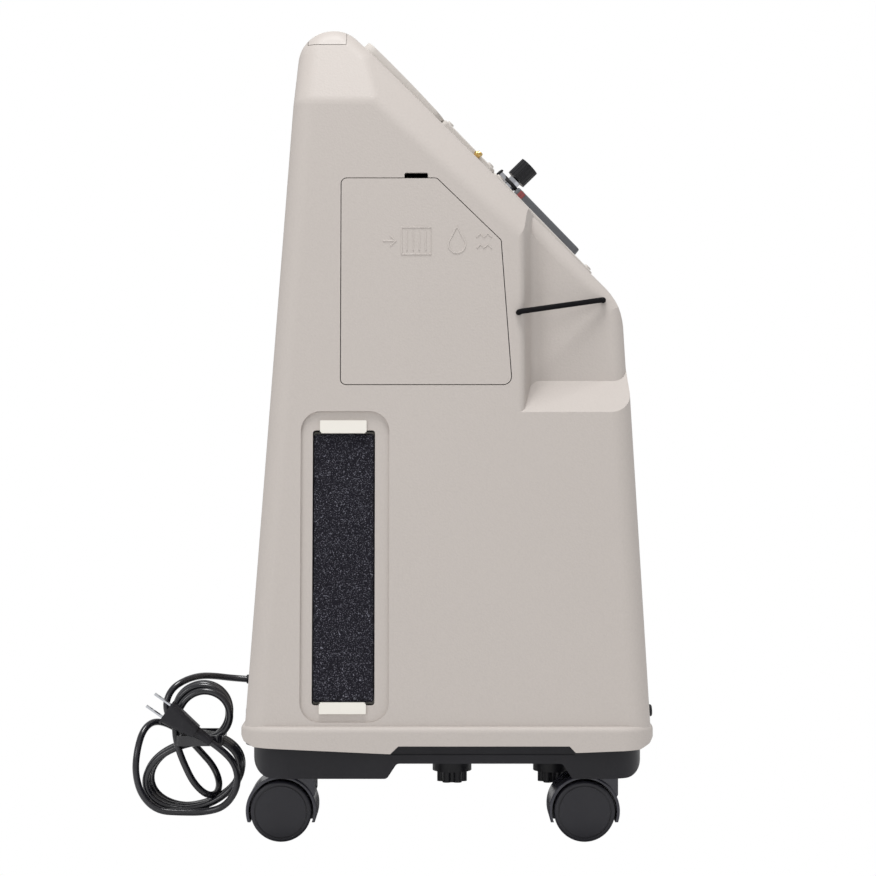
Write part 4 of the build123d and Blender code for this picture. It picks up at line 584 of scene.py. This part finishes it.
# radius and height, from the foot up
CATCH_PROFILE = [(2.7, -1), (2.7, 4.4), (3.2, 4.9), (3.2, 6.4), (2.6, 7.0), (0.9, 7.0), (0.8, 5.6)]
COLLAR_PROFILE = [(5.6, 8.6), (7.4, 8.8), (7.6, 9.4), (7.6, 10.8), (7.2, 11.4), (5.6, 11.6)]
CLIP_PROFILE = [(3.5, 0), (4.6, 0.2), (4.8, 1.0), (4.4, 2.0), (2.0, 2.6)]
CATCH_X, CATCH_Y, CATCH_Z = 20.0, 153.2, 562.2
VALVE_Y = -95
VALVE_U = 164.4
PORT_U = 151.6
PORT_HEIGHT = 9
BEZEL_SIDE_Y = -114.0
MARK_U = 178.0
MARK_LEVEL = 7.2
MARK_BANDS = (-1.4, 1.4)
MARK_BAND_WIDTH = 2.6
MARK_ENDS = (-3.6, 3.4)
MARK_HEIGHT = 0.35
GRIPS = 6
GRIPS_U = 186
GRIP_PITCH = 8.2
GRIP_LEVEL = 2.6
GRIP_LINE = [(-1.6, -1.2), (0, 0.9), (1.6, -1.2)]
GRIP_WIDTH = 1.0
GRIP_HEIGHT = 0.7


def add_turned(name, matrix, profile, material):
    """A new turned piece on the fixed body, standing on matrix."""
    add_mesh(name, lambda bm: turned(bm, matrix, profile), material)


for way, name in ((-1, "right"), (1, "left")):
    foot = facing(mm(CATCH_X, way * CATCH_Y, CATCH_Z), SHELL_OUT, (0, 1, 0))
    add_turned(f"panel_catch_{name}", foot, CATCH_PROFILE, brass)

red = finish(
    "red_mark", (0.26, 0.055, 0.055), 0.4,
    mottle=0.06, mottle_scale=120, grain=0.02, grain_size=0.6,
)


def bezel_mark(bm):
    """The red index band across the bezel's side, near its upper end."""
    matrix = facing(on_slope(MARK_U, BEZEL_SIDE_Y, MARK_LEVEL), (0, -1, 0), SLOPE_ALONG)
    for x in MARK_BANDS:
        raised_strip(bm, matrix, [(x, y) for y in MARK_ENDS], MARK_BAND_WIDTH, MARK_HEIGHT)


add_mesh("bezel_mark", bezel_mark, red, smooth=False)


def bezel_grips(bm):
    """Small moulded grips along the bezel's lower edge."""
    for k in range(GRIPS):
        place = on_slope(GRIPS_U + GRIP_PITCH * k, BEZEL_SIDE_Y, GRIP_LEVEL)
        raised_strip(bm, facing(place, (0, -1, 0), SLOPE_ALONG), GRIP_LINE, GRIP_WIDTH, GRIP_HEIGHT)


add_mesh("bezel_grips", bezel_grips, chrome, smooth=False)

valve_axis = facing(on_slope(VALVE_U, VALVE_Y, 0), SLOPE_OUT, (0, 1, 0))
# near-black rings round the valve and the port, partly painted shadow
add_turned("valve_collar", valve_axis, COLLAR_PROFILE, gasket_and_shadow)
port_axis = facing(on_slope(PORT_U, VALVE_Y, PORT_HEIGHT), [-v for v in SLOPE_ALONG], (0, 1, 0))
add_turned("port_clip", port_axis, CLIP_PROFILE, gasket_and_shadow)


# ---------------------------------------------------------------- power cord
CORD_DIAMETER = 6 * MM  # metres
TIE_X, TIE_Z = -217.0, 66.0  # where the turns cross
TURN_POINTS = 12
FIRST_DEPTH = -44.0  # y of the first turn
DEPTH_STEP = -3.0  # from one turn to the next
CROSSING_RISE = 3.0  # how far above or below the tie a strand passes
# from the cabinet to the tie
LEAD = [
    (-183.383, 10, 110),
    (-197.383, 10, 111),
    (-212.5, 1.5, 114),
    (-224, -15.7, 116),
    (-235, -32, 114),
    (-246, -40, 107),
    (-251, -43, 93),
    (-246, -43, 79),
    (-234, -42, 69),
]
# width, height and sideways lean of each turn; a minus height hangs below the tie
TURNS = [
    (43, -62, -15),
    (24, 48, 2),
    (41, -61, -10),
    (24, 48, 1),
    (42, -61, -12),
    (24, 47, 2),
    (42, -62, -14),
]
# the last upper loop, which is open
LAST_RISE = [
    (-212, -64.5, 65.5),
    (-196, -65, 71.5),
    (-189.5, -66, 87),
    (-196, -66.5, 103),
    (-212, -67, 110),
    (-228, -67, 104.5),
    (-237, -68, 90),
]
# the single loop that hangs inside the lower turns
DANGLE = [
    (-239, -69.5, 75),
    (-236, -71.5, 60),
    (-230, -73, 45),
    (-222, -73, 29),
    (-211.6, -67, 17.5),
    (-204, -53, 15.8),
    (-202.5, -39, 23.7),
    (-209, -33, 37.7),
    (-221, -33, 51),
    (-233, -33, 64),
    (-247, -36, 75),
    (-260, -46, 80),
    (-268, -59, 74),
]
# round the outside of the lower turns, up to the plug
TO_PLUG = [
    (-272, -68, 58),
    (-273.5, -71, 38),
    (-268, -71.5, 18),
    (-254, -71, 4.5),
    (-234, -70, 3.1),
    (-213, -70, 3.1),
    (-195, -72, 8),
    (-184, -75, 24),
    (-183, -79, 41),
    (-191, -83, 56),
    (-205.5, -84.5, 66.5),
]


def bundle_route():
    """The cord's control points from its exit to the plug."""
    route = [mm(*p) for p in LEAD]
    depth, rise = FIRST_DEPTH, CROSSING_RISE
    for width, height, lean in TURNS:
        for k in range(TURN_POINTS):
            turn = tau * k / TURN_POINTS
            away = (1 - cos(turn)) / 2
            x = TIE_X + width * sin(turn) + lean * away
            z = TIE_Z + rise * (1 - 2 * k / TURN_POINTS) + height * away
            route.append(mm(x, depth + DEPTH_STEP * k / TURN_POINTS, z))
        depth += DEPTH_STEP
        rise = -rise
    route += [mm(*p) for p in LAST_RISE + DANGLE + TO_PLUG]
    return route


cord = nurbs("power_cord", bundle_route(), CORD_DIAMETER, pvc)
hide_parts("cord_lead", "cord_bundle")


# ---------------------------------------------------------------- floor
FLOOR = 6  # half its width, in metres
floor = bpy.data.meshes.new("floor")
corners = [(-FLOOR, -FLOOR, 0), (FLOOR, -FLOOR, 0), (FLOOR, FLOOR, 0), (-FLOOR, FLOOR, 0)]
floor.from_pydata(corners, [], [(0, 1, 2, 3)])
floor.materials.append(white_paper("floor_paper"))
floor_piece = bpy.data.objects.new("floor", floor)
bpy.context.collection.objects.link(floor_piece)
